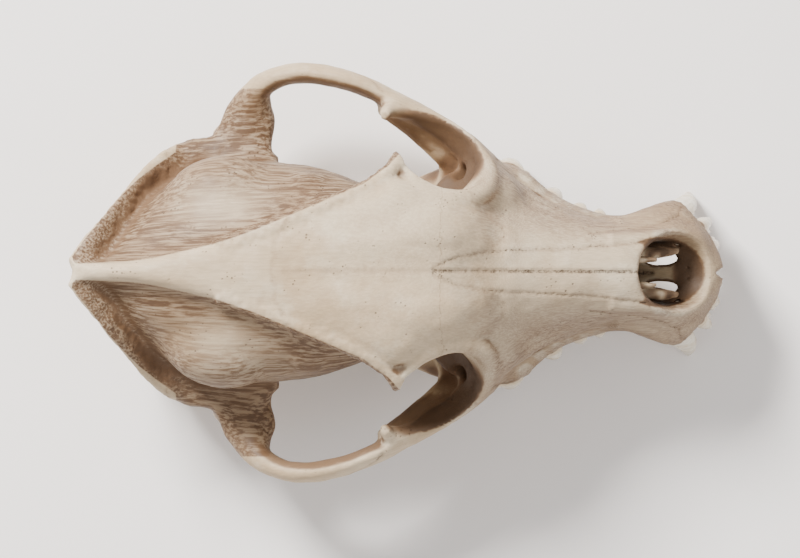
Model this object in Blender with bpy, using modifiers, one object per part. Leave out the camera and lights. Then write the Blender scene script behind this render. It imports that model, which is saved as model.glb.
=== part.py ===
"""A dog's cranium with its twenty upper teeth, each tooth seated in its own socket.

The skull lies as it does on a table: the nose points along +X, the animal's left side is +Y, and it
stands on the tips of its two canines and of the two jugular processes behind. Lengths in the tables
are millimetres of a skull of the usual size, and MM turns them into Blender's metres.
"""

import math

import bmesh
import bpy
import numpy as np
from mathutils import Matrix, Vector

# The length of the whole skull in metres, from the occiput to the front of the incisors, which the
# rest follows, and the same length in the tables below
SKULL_LENGTH = 0.2146
LENGTH_IN_TABLES = 214.6
MM = SKULL_LENGTH / LENGTH_IN_TABLES

# The plane it stands on
TABLE = 0.0

# The tables below are measured with the palate nearly level. Set down on its canines and jugular
# processes the skull's back sinks by this much, turning about the canines.
REAR_DROP = 6.0
CANINE_TO_JUGULAR = 177.8
CANINE_TIP_X = 95.0
FORWARD_SHIFT = 1.5

# Finishes: colour, roughness
BONE = ((0.72, 0.62, 0.48), 0.62)
ENAMEL = ((0.82, 0.75, 0.60), 0.28)

# How fine the bone and the teeth are fused, and how many triangles the bone keeps
BONE_GRAIN = 1.4
TOOTH_GRAIN = 0.45
BONE_TRIANGLES = 4900

# How the teeth sit in the bone
SOCKET_GAP = 0.55
CROWN_INSIDE = 0.8  # how far a crown starts inside its socket
CROWN_ROOM = 2.5  # how far below the gum the bone still keeps clear of the crown

# Sections along the midline: x, height of the section's middle, half width, rise above the middle,
# drop below it, squareness of the upper half, squareness of the lower half
BRAINCASE = (
    (-99.5, 51, 7.5, 20, 9, 1.7, 2.0),
    (-94.5, 49, 14.5, 26, 17, 1.7, 2.0),
    (-88, 48, 21.5, 30, 22.5, 1.8, 2.0),
    (-80, 47, 27.5, 33, 26.5, 2.0, 2.0),
    (-71, 47, 32.2, 34.5, 28.5, 2.0, 2.0),
    (-58, 47, 35.4, 36, 28, 2.0, 2.0),
    (-44, 48, 36.6, 36.5, 26.5, 2.0, 2.0),
    (-30, 51, 34.8, 34.5, 25.5, 2.0, 2.0),
    (-18, 54, 31.5, 32, 24, 2.0, 2.0),
    (-6, 57, 27.0, 29, 23, 2.0, 2.0),
    (6, 58, 23.0, 27, 22, 2.0, 2.0),
)
ROOF = (
    (-106.4, 75.0, 2.8, 3.0, 8.0, 2.4, 2.0),
    (-98, 78.5, 2.9, 3.4, 12.0, 2.4, 2.0),
    (-88, 81.5, 3.0, 3.8, 12.0, 2.4, 2.0),
    (-79, 83.5, 4.3, 3.8, 12.0, 2.4, 2.0),
    (-68, 84.5, 6.6, 3.6, 11.0, 2.4, 2.0),
    (-56, 84.5, 9.6, 3.8, 10.0, 2.4, 2.0),
    (-45, 84.0, 13.6, 4.6, 10.0, 2.6, 2.0),
    (-34, 83.0, 18.2, 6.0, 11.0, 2.6, 2.0),
    (-23, 81.5, 22.8, 8.0, 12.0, 2.6, 2.0),
    (-12, 79.5, 27.0, 10.5, 13.0, 2.6, 2.0),
    (-2, 78.0, 31.0, 12.0, 13.0, 2.5, 2.0),
    (6, 76.5, 28.6, 12.5, 13.0, 2.4, 2.0),
    (16, 73.5, 25.0, 12.5, 13.0, 2.2, 2.0),
    (26, 69.0, 22.0, 11.0, 13.0, 2.2, 2.0),
    (34, 64.0, 17.0, 10.0, 12.0, 2.2, 2.0),
)
SNOUT = (
    (103.6, 33, 9.0, 4, 4.0, 2.2, 2.4),
    (99, 34.5, 15.0, 12, 6.0, 2.2, 2.6),
    (90, 35.5, 18.6, 20, 7.0, 2.3, 3.0),
    (78, 35, 17.4, 28, 7.5, 2.4, 3.0),
    (66, 34, 17.8, 32, 7.5, 2.4, 3.0),
    (54, 33, 20.5, 36, 8.0, 2.3, 3.0),
    (42, 32, 25.0, 40.5, 8.5, 2.2, 3.0),
    (30, 31.5, 28.5, 46, 9.0, 2.1, 3.0),
    (18, 33, 27.0, 53, 12.0, 2.1, 2.6),
    (6, 38, 23.0, 51, 15.0, 2.2, 2.4),
    (-8, 46, 19.0, 42, 15.0, 2.2, 2.0),
)
SKULL_BASE = (
    (-92, 22.5, 9.0, 5, 3.5, 2.4, 2.4),
    (-80, 22.5, 13.0, 6, 3.5, 2.4, 2.6),
    (-62, 23.5, 14.0, 6, 3.5, 2.4, 2.6),
    (-45, 25.5, 12.0, 6, 3.0, 2.4, 2.4),
    (-25, 28.0, 9.5, 6, 3.0, 2.4, 2.2),
    (-5, 30.5, 9.0, 6, 3.0, 2.4, 2.0),
    (12, 31.5, 8.0, 6, 3.0, 2.4, 2.0),
)

# Hollows along the midline, with the same columns
BRAIN = (
    (-86, 43, 11.0, 12, 9.0, 2.0, 2.0),
    (-78, 46, 22.0, 24, 17.0, 2.0, 2.0),
    (-64, 47, 28.5, 30, 21.5, 2.0, 2.0),
    (-46, 48, 28.5, 29, 20.0, 2.0, 2.0),
    (-30, 51, 25.0, 25, 21.0, 2.0, 2.5),
    (-18, 55, 18.0, 16, 19.0, 2.0, 2.5),
    (-12, 57, 9.0, 9, 11.0, 2.0, 2.2),
)
FORAMEN_MAGNUM = (
    (-112, 32, 11.5, 13.5, 8.5, 2.0, 2.0),
    (-96, 33, 9.8, 12.5, 7.2, 2.0, 2.0),
    (-88, 34, 9.0, 12.0, 6.8, 2.0, 2.0),
    (-76, 37, 9.0, 11.5, 7.0, 2.0, 2.0),
)
NASAL_PASSAGE = (
    (98, 46.5, 8.8, 12, 8.5, 2.0, 2.2),
    (92, 46, 10.2, 12, 10.5, 2.0, 2.4),
    (80, 45.5, 10.5, 14, 12.5, 2.1, 2.4),
    (68, 45.5, 10.5, 17, 13.0, 2.1, 2.4),
    (52, 45, 12.5, 20, 13.5, 2.1, 2.4),
    (38, 45, 14.5, 22, 14.5, 2.0, 2.4),
    (24, 44, 13.0, 20, 13.0, 2.0, 2.2),
    (14, 38, 9.5, 16.5, 11.0, 2.0, 2.2),
    (6, 27.5, 7.2, 6, 6.0, 2.0, 2.4),
    (-6, 23.0, 6.6, 6.5, 6.5, 2.0, 2.4),
    (-20, 18.0, 6.4, 8.5, 8.0, 2.0, 2.4),
    (-36, 13.0, 6.4, 11.5, 8.0, 2.0, 2.4),
)

# Limbs of bone on the left side: x, y, z, half thickness, half height
ZYGOMATIC_ARCH = (
    (40, 17, 36.0, 5.0, 10.0),
    (33, 25, 38.0, 5.5, 13.0),
    (26, 36, 39.5, 5.2, 13.8),
    (18, 44, 39.8, 4.4, 11.3),
    (9, 50, 42.0, 3.8, 10.2),
    (-1, 55.8, 44.0, 3.5, 9.4),
    (-11, 61, 45.6, 3.3, 8.3),
    (-21, 64.4, 46.4, 3.3, 7.4),
    (-31, 66.0, 45.6, 3.4, 6.6),
    (-40, 65.0, 43.6, 3.6, 5.8),
    (-47.5, 60.8, 41.0, 4.3, 5.2),
    (-51, 53.5, 38.5, 6.4, 4.6),
    (-52.5, 45, 37.5, 8.2, 4.8),
    (-54, 34, 37.0, 10.0, 6.0),
)
CHEEK_SHELF = (
    (33, 28.5, 33.5, 6.0, 5.0),
    (25, 35.0, 34.0, 6.4, 4.8),
    (17, 39.6, 35.6, 6.0, 4.6),
    (9.5, 44.6, 38.0, 4.8, 4.6),
    (2, 49.6, 41.0, 3.8, 4.6),
    (-6, 55.0, 43.6, 3.0, 4.4),
)
ORBIT_FLOOR = (
    (32, 24, 33.5, 8.0, 4.0),
    (24, 28, 33.0, 8.5, 3.6),
    (17, 30, 32.4, 7.5, 3.2),
    (12, 31, 32.0, 4.5, 2.6),
)
ORBIT_RIM = (
    (-5.0, 51.5, 58.0, 1.6, 1.8),
    (-3.5, 53.5, 53.0, 2.8, 2.8),
    (3, 53.2, 50.0, 2.6, 2.6),
    (11, 50.2, 49.6, 2.6, 2.6),
    (19, 45.0, 51.5, 2.8, 2.8),
    (25.8, 39.0, 55.5, 3.0, 3.0),
    (29.0, 32.8, 61.0, 3.2, 3.2),
    (28.8, 27.6, 67.5, 3.2, 3.2),
    (24.6, 24.4, 72.6, 3.2, 3.2),
    (17.5, 23.4, 76.0, 3.2, 3.2),
    (10.0, 26.0, 77.2, 3.2, 3.2),
    (4.2, 31.2, 76.4, 3.1, 3.0),
    (0.5, 37.8, 74.0, 2.2, 2.2),
)
TEMPORAL_LINE = (
    (-58, 8.6, 85.0, 1.9, 2.2),
    (-46, 12.6, 85.6, 1.9, 2.2),
    (-34, 17.6, 85.4, 1.9, 2.2),
    (-22, 22.6, 84.4, 2.0, 2.3),
    (-11, 27.2, 82.6, 2.1, 2.4),
    (-3, 33.0, 79.2, 2.2, 2.6),
    (0.5, 37.6, 75.5, 2.3, 2.6),
)
NUCHAL_CREST = (
    (-104.5, 1.5, 74.5, 2.6, 4.5),
    (-100.5, 7.2, 72.5, 2.2, 5.0),
    (-95.5, 13.6, 68.5, 2.1, 5.0),
    (-90.5, 20.4, 63.0, 2.1, 5.0),
    (-86, 25.8, 56.0, 2.3, 6.0),
    (-81.5, 30.6, 48.5, 2.7, 6.4),
    (-76, 35.4, 42.0, 3.1, 6.0),
    (-70, 40.0, 36.5, 3.0, 4.2),
)
MEATUS_SHELF = (
    (-79, 33.0, 43.0, 4.0, 3.2),
    (-72, 36.8, 39.5, 5.8, 3.8),
    (-64, 38.0, 38.5, 7.2, 4.0),
    (-54, 38.4, 38.5, 6.4, 4.0),
    (-43, 34.0, 40.5, 4.6, 3.4),
)
JUGULAR_PROCESS = (
    (-86, 20.5, 34.0, 8.0, 5.0),
    (-85.5, 22.0, 26.0, 6.8, 4.0),
    (-84.6, 23.4, 18.0, 5.6, 3.4),
    (-83.6, 24.5, 11.0, 4.6, 3.0),
    (-82.8, 25.0, 3.5, 3.8, 2.8),
)
RETROARTICULAR_PROCESS = (
    (-55, 47.0, 37.0, 6.5, 4.0),
    (-57.5, 46.5, 30.0, 6.0, 3.2),
    (-59, 46.0, 24.5, 3.4, 2.0),
)
PTERYGOID_PLATE = (
    (20, 14.0, 27.0, 3.0, 7.0),
    (8, 11.5, 24.5, 2.4, 7.0),
    (-4, 9.8, 23.0, 1.8, 8.0),
    (-16, 9.0, 22.5, 1.7, 8.5),
    (-26, 8.6, 22.0, 1.6, 9.0),
    (-34, 8.6, 19.5, 1.5, 6.0),
)
TOOTH_RIDGE = (
    (102.6, 0.5, 32.5, 4.2, 5.5),
    (100.6, 6.5, 32.5, 4.2, 5.5),
    (96.2, 12.8, 32.5, 4.5, 6.0),
    (89.0, 17.2, 33.0, 5.4, 7.0),
    (80.0, 15.8, 32.0, 4.4, 6.4),
    (69.0, 14.8, 31.0, 4.4, 6.5),
    (58.0, 17.4, 30.0, 4.7, 6.8),
    (47.0, 22.2, 28.8, 5.1, 7.0),
    (36.0, 29.6, 27.6, 6.0, 7.2),
    (26.0, 30.0, 26.8, 7.2, 7.4),
    (15.0, 27.2, 26.2, 8.2, 7.6),
    (6.0, 25.2, 26.0, 7.0, 7.6),
    (0.5, 24.2, 26.4, 5.0, 7.0),
)
CANINE_BULGE = (
    (90.0, 18.5, 29.0, 6.0, 5.5),
    (86.0, 17.8, 35.0, 5.8, 5.2),
    (80.0, 15.6, 41.0, 5.6, 5.2),
    (72.0, 13.8, 45.0, 4.8, 4.6),
)
MAXILLA_WALL = (
    (64, 13.6, 38.0, 4.0, 8.0),
    (54, 16.4, 38.5, 4.8, 9.0),
    (44, 20.5, 39.5, 6.0, 10.0),
    (34, 24.5, 41.0, 7.0, 11.5),
    (26, 27.0, 43.0, 7.0, 12.0),
)
NASAL_BONE_TIP = (
    (70, 8.5, 59.5, 4.0, 2.6),
    (79, 10.0, 56.8, 3.2, 2.4),
    (85, 11.2, 54.8, 2.2, 2.0),
    (89, 11.8, 53.0, 1.2, 1.2),
)

# Round masses: centre x, y, z, then radii along x, y and z, and a turn about z in degrees
CHEEK = (25, 24, 50, 15, 12, 18, 0)
FRONTAL_SINUS = (4, 12.5, 78, 21, 12, 11.5, 0)
TYMPANIC_BULLA = (-64, 20.5, 18.2, 14.5, 9.8, 11.0, -14)
EAR_LIP = (-66.5, 33.5, 27.5, 6.5, 6.0, 6.5, 0)
OCCIPITAL_CONDYLE = (-89, 11.5, 28.5, 6.0, 6.2, 9.5, 0)
MASTOID = (-77, 29.5, 34, 9.5, 9.0, 11.0, 0)
JAW_SOCKET_ROOF = (-51, 50, 37.5, 9.0, 9.0, 4.5, 0)

# Round hollows, with the same columns
EYE_SOCKET_BACK = (9.0, 37.0, 60.5, 16.0, 16.5, 14.5, 0)
EYE_SOCKET_MOUTH = (13.6, 42.4, 69.3, 15.6, 15.8, 15.0, 0)
NOSE_OPENING = (95.5, 0, 57, 17.8, 14.4, 19.3, 0)
PALATINE_FISSURE = (86, 5.0, 28, 6.5, 2.6, 12.0, 0)
EAR_OPENING = (-67, 38, 27.5, 4.0, 9.0, 4.0, 0)
INFRAORBITAL_CANAL = (
    (57, 24.5, 40.0, 3.2, 4.4),
    (49, 25.2, 39.5, 2.8, 4.2),
    (41, 25.6, 40.5, 2.6, 3.8),
    (33, 27.5, 42.0, 2.6, 3.4),
    (24, 31.0, 46.0, 2.8, 3.2),
    (15, 35.5, 51.0, 3.0, 3.2),
)

# Scroll bones inside the nose, on the left side
TURBINATE = (
    (80, 8.0, 49.0, 1.8, 5.5),
    (68, 8.4, 50.0, 2.0, 7.5),
    (52, 9.8, 51.0, 2.4, 9.5),
    (34, 11.2, 53.0, 2.6, 10.0),
    (13, 8.6, 57.0, 2.2, 7.0),
)


def cusp(forward, outward, lean_forward, lean_outward, drop, half_long, half_wide, edge=0.14):
    """Sections of one cusp from the gum to its tip, which stays as long as the edge's share."""
    inside = -CROWN_INSIDE / drop
    shape = ((inside, 1, 1), (0.05, 1, 1), (0.35, 0.95, 0.9), (0.7, 0.66, 0.58), (0.92, 0.36, 0.28))
    shape += ((1, edge, 0.12),)
    return tuple(
        (
            forward + lean_forward * max(t, 0),
            outward + lean_outward * max(t, 0),
            drop * t,
            half_long * max(long, edge),
            half_wide * wide,
        )
        for t, long, wide in shape
    )


def root(forward, outward, lean_forward, lean_outward, rise, half_long, half_wide):
    """Sections of one root from inside the crown up to its apex."""
    shape = ((-0.1, 1.0), (0.6, 0.86), (1, 0.42))
    return tuple(
        (
            forward + lean_forward * t,
            outward + lean_outward * t,
            -rise * t,
            half_long * size,
            half_wide * size,
        )
        for t, size in shape
    )


CANINE_CROWN = (
    (-0.2, 0, -0.8, 6.0, 4.0),
    (0, 0, 0.2, 6.1, 4.1),
    (2.8, 1.6, 7.0, 5.7, 3.8),
    (5.2, 3.6, 14.0, 4.5, 3.1),
    (6.6, 5.8, 20.5, 2.9, 2.1),
    (6.9, 7.4, 25.5, 1.6, 1.3),
    (6.8, 8.2, 28.5, 1.0, 0.9),
)
CANINE_ROOT = (
    (0.4, 0.2, 1.0, 5.4, 3.6),
    (-6.6, -2.2, -7.0, 5.9, 3.4),
    (-12.5, -4.0, -12.0, 4.8, 2.6),
    (-16.5, -5.0, -15.5, 2.6, 1.7),
)

# Teeth of the left side: where the tooth stands on the gum, the way its outer face looks in degrees
# from the nose, then its cusps, its roots and how many triangles it keeps
TEETH = {
    "incisor_1": (
        (102.0, 2.9, 27.4), 8,
        (cusp(0, 0, 0.2, 3.8, 12.0, 2.5, 3.0, 0.62),),
        (root(0, 0, 0, -6.5, 8.5, 2.0, 2.5),), 84,
    ),
    "incisor_2": (
        (100.3, 8.6, 27.2), 16,
        (cusp(0, 0, 0.2, 4.6, 12.8, 2.9, 3.4, 0.55),),
        (root(0, 0, 0, -7.0, 9, 2.3, 2.8),), 84,
    ),
    "incisor_3": (
        (96.9, 14.3, 26.9), 27,
        (cusp(0, 0, -0.6, 6.6, 15.2, 3.0, 3.5, 0.2),),
        (root(0, 0, 1.0, -7.0, 13, 2.5, 2.8),), 96,
    ),
    "canine": ((88.2, 18.8, 27.0), 90, (CANINE_CROWN,), (CANINE_ROOT,), 200),
    "premolar_1": (
        (64.8, 17.5, 23.9), 84,
        (cusp(0, 0, 0.3, 3.9, 6.6, 2.7, 2.4),),
        (root(0, 0, -0.8, -1.2, 9, 2.0, 1.9),), 72,
    ),
    "premolar_2": (
        (57.2, 19.6, 23.1), 74,
        (
            cusp(0.6, 0, 0.4, 4.2, 8.0, 3.5, 2.5),
            cusp(-2.8, 0, -0.3, 1.9, 5.0, 2.1, 2.1),
            cusp(0, 0, 0, 0.8, 3.4, 4.6, 2.5, 0.6),
        ),
        (root(2.3, 0, 0.5, -1.2, 10, 1.8, 1.8), root(-2.5, 0, -0.5, -1.2, 10, 1.8, 1.8)), 116,
    ),
    "premolar_3": (
        (47.8, 24.3, 22.0), 62,
        (
            cusp(0.6, 0, 0.5, 5.0, 9.4, 4.2, 2.9),
            cusp(-3.6, 0, -0.3, 2.0, 5.8, 2.3, 2.3),
            cusp(0, 0, 0, 0.8, 3.8, 5.5, 2.8, 0.6),
        ),
        (root(2.9, 0, 0.5, -1.2, 11, 2.0, 2.0), root(-3.1, 0, -0.5, -1.2, 11, 2.0, 2.0)), 126,
    ),
    "premolar_4": (
        (33.6, 32.6, 20.4), 70,
        (
            cusp(1.2, 1.0, -0.6, 5.0, 13.6, 5.2, 3.7),
            cusp(-5.2, 0.8, -0.6, 3.2, 10.0, 4.5, 3.1, 0.4),
            cusp(5.4, -2.8, 0.2, 0.4, 5.0, 2.9, 2.9),
            cusp(6.2, 0.8, 0.3, 2.0, 6.4, 2.9, 2.8),
            cusp(0, 0, 0, 0.8, 4.0, 9.0, 4.0, 0.7),
        ),
        (
            root(5.8, 1.2, 0.6, -1.0, 11, 2.3, 2.2),
            root(5.0, -2.8, 0.4, -2.0, 9, 1.9, 1.9),
            root(-5.0, 0.4, -0.8, -1.0, 11, 3.0, 2.4),
        ), 190,
    ),
    "molar_1": (
        (16.4, 27.6, 18.9), 92,
        (
            cusp(3.0, 4.3, 0, 0.8, 8.4, 3.5, 3.3),
            cusp(-3.1, 4.1, 0, 0.8, 7.4, 3.3, 3.1),
            cusp(1.0, -3.0, 0, 0.2, 5.2, 3.7, 3.5),
            cusp(-1.6, -5.2, 0, 0, 3.8, 3.4, 2.6, 0.4),
            cusp(0, 1.0, 0, 0, 3.2, 6.2, 6.4, 0.75),
        ),
        (
            root(3.1, 4.2, 0.3, -0.6, 9, 2.1, 2.1),
            root(-3.2, 4.0, -0.3, -0.6, 9, 2.1, 2.1),
            root(-0.2, -4.0, 0, -1.4, 9, 2.5, 2.3),
        ), 190,
    ),
    "molar_2": (
        (5.6, 25.2, 18.9), 97,
        (
            cusp(1.3, 2.5, 0, 0.3, 4.6, 2.4, 2.3),
            cusp(-1.7, 2.2, 0, 0.3, 3.8, 2.1, 2.1),
            cusp(0, -2.4, 0, 0, 3.4, 2.8, 2.6, 0.3),
            cusp(0, 0, 0, 0, 2.4, 3.7, 4.8, 0.75),
        ),
        (root(0.2, 2.4, 0, -0.4, 7, 2.4, 1.7), root(0, -2.4, 0, -0.8, 7, 2.0, 1.7)), 110,
    ),
}


def curve_through(rows, per_gap=4):
    """The rows, with more between each two, on a Catmull-Rom curve through them."""
    rows = np.array(rows, float)
    ends = np.vstack([2 * rows[0] - rows[1], rows, 2 * rows[-1] - rows[-2]])
    found = []
    for before, start, end, after in zip(ends, ends[1:], ends[2:], ends[3:]):
        for t in np.linspace(0, 1, per_gap, endpoint=False):
            bend = 2 * before - 5 * start + 4 * end - after
            twist = 3 * start - before - 3 * end + after
            found.append(start + (t * (end - before) + t * t * bend + t**3 * twist) / 2)
    return np.array(found + [rows[-1]])


def settled(x, y, z):
    """A point of the tables where it ends up once the skull is set down."""
    turn = math.atan(REAR_DROP / CANINE_TO_JUGULAR)
    behind = x - CANINE_TIP_X
    return Vector(
        (
            CANINE_TIP_X + FORWARD_SHIFT + behind * math.cos(turn) - z * math.sin(turn),
            y,
            behind * math.sin(turn) + z * math.cos(turn),
        )
    )


def softened(angle, square):
    """A point on a unit circle that is squared off: 2 is round, and more is squarer."""
    across, up = math.cos(angle), math.sin(angle)
    return (
        math.copysign(abs(across) ** (2 / square), across),
        math.copysign(abs(up) ** (2 / square), up),
    )


def close_loft(bm, rings):
    """A closed skin over rings of points, with a flat face at each end."""
    loops = [[bm.verts.new(settled(*point) * MM) for point in ring] for ring in rings]
    for ring, following in zip(loops, loops[1:]):
        for k in range(len(ring)):
            after = (k + 1) % len(ring)
            bm.faces.new((ring[k], ring[after], following[after], following[k]))
    bm.faces.new(loops[0][::-1])
    bm.faces.new(loops[-1])


def add_midline(bm, rows, corners=28):
    """A form along the midline, lofted through its upright sections."""
    rings = []
    for x, z, half_width, rise, drop, square_up, square_down in curve_through(rows):
        ring = []
        for k in range(corners):
            angle = 2 * math.pi * k / corners
            above = math.sin(angle) >= 0
            across, up = softened(angle, square_up if above else square_down)
            ring.append(Vector((x, across * half_width, z + up * (rise if above else drop))))
        rings.append(ring)
    close_loft(bm, rings)


def add_limb(bm, rows, corners=12, upright=True):
    """A limb of bone on both sides of the skull, lofted through oval sections across its path."""
    rows = curve_through(rows)
    for side in (1, -1):
        path = [Vector((x, y * side, z)) for x, y, z in rows[:, :3]]
        rings = []
        for i, centre in enumerate(path):
            along = (path[min(i + 1, len(path) - 1)] - path[max(i - 1, 0)]).normalized()
            hint = Vector((0, 0, 1)) if upright else Vector((0, 1, 0))
            across = along.cross(hint).normalized()
            up = across.cross(along)
            thick, tall = rows[i, 3], rows[i, 4]
            turns = [2 * math.pi * k / corners for k in range(corners)]
            rings.append([centre + across * thick * math.cos(a) + up * tall * math.sin(a) for a in turns])
        close_loft(bm, rings)


def add_mass(bm, mass, sides=(1, -1)):
    """An egg of bone, or an egg-shaped hollow, on each side named."""
    x, y, z, long, wide, tall, turn = mass
    for side in sides:
        place = Matrix.Translation(settled(x, y * side, z) * MM)
        place = place @ Matrix.Rotation(math.radians(turn * side), 4, "Z")
        place = place @ Matrix.Diagonal((long * MM, wide * MM, tall * MM, 1))
        bmesh.ops.create_icosphere(bm, subdivisions=3, radius=1, matrix=place)


def add_spike(bm, tooth, rows, side, corners=10, per_gap=3):
    """A cusp or a root of a tooth, lofted through its level sections."""
    gum, facing = Vector(tooth[0]), math.radians(tooth[1])
    outward = Vector((math.cos(facing), math.sin(facing), 0))
    forward = Vector((math.sin(facing), -math.cos(facing), 0))
    rows = curve_through(rows, per_gap)
    rings = []
    for ahead, out, down, half_long, half_wide in rows:
        centre = gum + forward * ahead + outward * out - Vector((0, 0, down))
        ring = []
        for k in range(corners):
            turn = 2 * math.pi * k / corners
            point = centre + forward * half_long * math.cos(turn)
            point += outward * half_wide * math.sin(turn)
            ring.append(Vector((point.x, point.y * side, point.z)))
        rings.append(ring)
    close_loft(bm, rings)


def finish(name, colour, roughness):
    """A plain finish of one colour."""
    made = bpy.data.materials.new(name)
    made.use_nodes = True
    shader = made.node_tree.nodes["Principled BSDF"]
    shader.inputs["Base Color"].default_value = (*colour, 1)
    shader.inputs["Roughness"].default_value = roughness
    shader.inputs["Metallic"].default_value = 0
    return made


def mesh_object(name, bm, collection):
    """The shapes as one object, with every face pointing out."""
    bmesh.ops.recalc_face_normals(bm, faces=bm.faces)
    for face in bm.faces:
        face.smooth = True
    mesh = bpy.data.meshes.new(name)
    bm.to_mesh(mesh)
    bm.free()
    made = bpy.data.objects.new(name, mesh)
    collection.objects.link(made)
    return made


def fuse(obj, grain, rounds):
    """Melts overlapping shapes into one skin, and rounds where they meet."""
    remesh = obj.modifiers.new("fuse", "REMESH")
    remesh.mode = "VOXEL"
    remesh.voxel_size = grain * MM
    remesh.use_smooth_shade = True
    smooth = obj.modifiers.new("round off", "SMOOTH")
    smooth.factor = 0.5
    smooth.iterations = rounds


def combine(obj, shapes, operation):
    """Puts the object together with every shape of a collection."""
    boolean = obj.modifiers.new(shapes.name, "BOOLEAN")
    boolean.operand_type = "COLLECTION"
    boolean.collection = shapes
    boolean.operation = operation
    boolean.solver = "EXACT"


def cut(obj, cutters):
    """Takes every cutter of a collection away from the object."""
    combine(obj, cutters, "DIFFERENCE")


def join(obj, shapes):
    """Adds every shape of a collection to the object."""
    combine(obj, shapes, "UNION")


def thin_out(obj, triangles):
    """Keeps about that many triangles, the most where the form bends most."""
    bpy.context.view_layer.update()
    evaluated = obj.evaluated_get(bpy.context.evaluated_depsgraph_get())
    mesh = evaluated.to_mesh()
    mesh.calc_loop_triangles()
    share = triangles / len(mesh.loop_triangles)
    evaluated.to_mesh_clear()
    decimate = obj.modifiers.new("thin out", "DECIMATE")
    decimate.ratio = min(1.0, share)


def new_collection(name, hidden=False):
    made = bpy.data.collections.new(name)
    made.hide_render = hidden
    bpy.context.scene.collection.children.link(made)
    return made


def cutter(name, bm, collection):
    """A helper that only takes material away."""
    made = mesh_object(name, bm, collection)
    made.hide_render = True
    made.display_type = "WIRE"
    return made


def make_hollows(collection):
    """The brain's room, the nose, the eye sockets and the ear openings."""
    for name, rows in (
        ("brain_room", BRAIN),
        ("foramen_magnum", FORAMEN_MAGNUM),
        ("nasal_passage", NASAL_PASSAGE),
    ):
        bm = bmesh.new()
        add_midline(bm, rows, corners=20)
        cutter(name, bm, collection)
    for name, mass, sides in (
        ("nose_opening", NOSE_OPENING, (1,)),
        ("eye_socket_back", EYE_SOCKET_BACK, (1, -1)),
        ("eye_socket_mouth", EYE_SOCKET_MOUTH, (1, -1)),
        ("ear_opening", EAR_OPENING, (1, -1)),
        ("palatine_fissure", PALATINE_FISSURE, (1, -1)),
    ):
        for side in sides:
            bm = bmesh.new()
            add_mass(bm, mass, sides=(side,))
            cutter(name, bm, collection)
    bm = bmesh.new()
    add_limb(bm, INFRAORBITAL_CANAL)
    cutter("infraorbital_canals", bm, collection)


def make_table_cut(collection):
    """What lies under the table, so that the skull's four feet end flat on it."""
    bm = bmesh.new()
    below = Matrix.Translation((0, 0, (TABLE - 20) * MM)) @ Matrix.Diagonal((0.4, 0.3, 0.04, 1))
    bmesh.ops.create_cube(bm, size=1, matrix=below)
    cutter("below_the_table", bm, collection)


def make_tooth(name, tooth, side, enamel, collection):
    """The cusps and roots of one tooth, fused."""
    bm = bmesh.new()
    for rows in tooth[2]:
        add_spike(bm, tooth, rows, side)
    for rows in tooth[3]:
        add_spike(bm, tooth, rows, side, per_gap=1)
    made = mesh_object(name, bm, collection)
    made.data.materials.append(enamel)
    fuse(made, TOOTH_GRAIN, rounds=3)
    thin_out(made, tooth[4])
    return made


def make_socket(made, tooth, collection):
    """Room in the bone for one tooth: a block round its neck and roots, swollen by the gap."""
    bpy.context.view_layer.update()
    seated = made.evaluated_get(bpy.context.evaluated_depsgraph_get())
    bm = bmesh.new()
    bm.from_mesh(seated.to_mesh())
    seated.to_mesh_clear()
    gum = settled(*tooth[0]) * MM
    everything = bm.verts[:] + bm.edges[:] + bm.faces[:]
    level = gum - Vector((0, 0, CROWN_ROOM * MM))
    bmesh.ops.bisect_plane(
        bm, geom=everything, plane_co=level, plane_no=(0, 0, -1), clear_outer=True
    )
    points = [v.co.copy() for v in bm.verts]
    bm.clear()
    for point in points:
        bm.verts.new(point)
    hull = bmesh.ops.convex_hull(bm, input=bm.verts)
    spare = [v for v in hull["geom_interior"] if isinstance(v, bmesh.types.BMVert)]
    bmesh.ops.delete(bm, geom=spare, context="VERTS")
    room = cutter("room_for_" + made.name, bm, collection)
    swell = room.modifiers.new("gap", "DISPLACE")
    swell.mid_level = 0
    swell.strength = SOCKET_GAP * MM


def make_cranium(bone, collection, hollows, scrolls, table, sockets):
    """The whole braincase and face, fused as an adult's is."""
    bm = bmesh.new()
    for rows in (BRAINCASE, ROOF, SNOUT, SKULL_BASE):
        add_midline(bm, rows)
    for rows in (
        ZYGOMATIC_ARCH,
        CHEEK_SHELF,
        ORBIT_FLOOR,
        ORBIT_RIM,
        TEMPORAL_LINE,
        MEATUS_SHELF,
        PTERYGOID_PLATE,
        TOOTH_RIDGE,
        MAXILLA_WALL,
        NASAL_BONE_TIP,
    ):
        add_limb(bm, rows)
    for rows in (NUCHAL_CREST, JUGULAR_PROCESS, RETROARTICULAR_PROCESS, CANINE_BULGE):
        add_limb(bm, rows, upright=False)
    for mass in (
        CHEEK,
        FRONTAL_SINUS,
        TYMPANIC_BULLA,
        EAR_LIP,
        OCCIPITAL_CONDYLE,
        MASTOID,
        JAW_SOCKET_ROOF,
    ):
        add_mass(bm, mass)
    cranium = mesh_object("cranium", bm, collection)
    cranium.data.materials.append(bone)
    fuse(cranium, BONE_GRAIN, rounds=6)
    cut(cranium, hollows)
    join(cranium, scrolls)
    fuse(cranium, BONE_GRAIN, rounds=2)
    thin_out(cranium, BONE_TRIANGLES)
    cut(cranium, table)
    cut(cranium, sockets)
    return cranium


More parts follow.
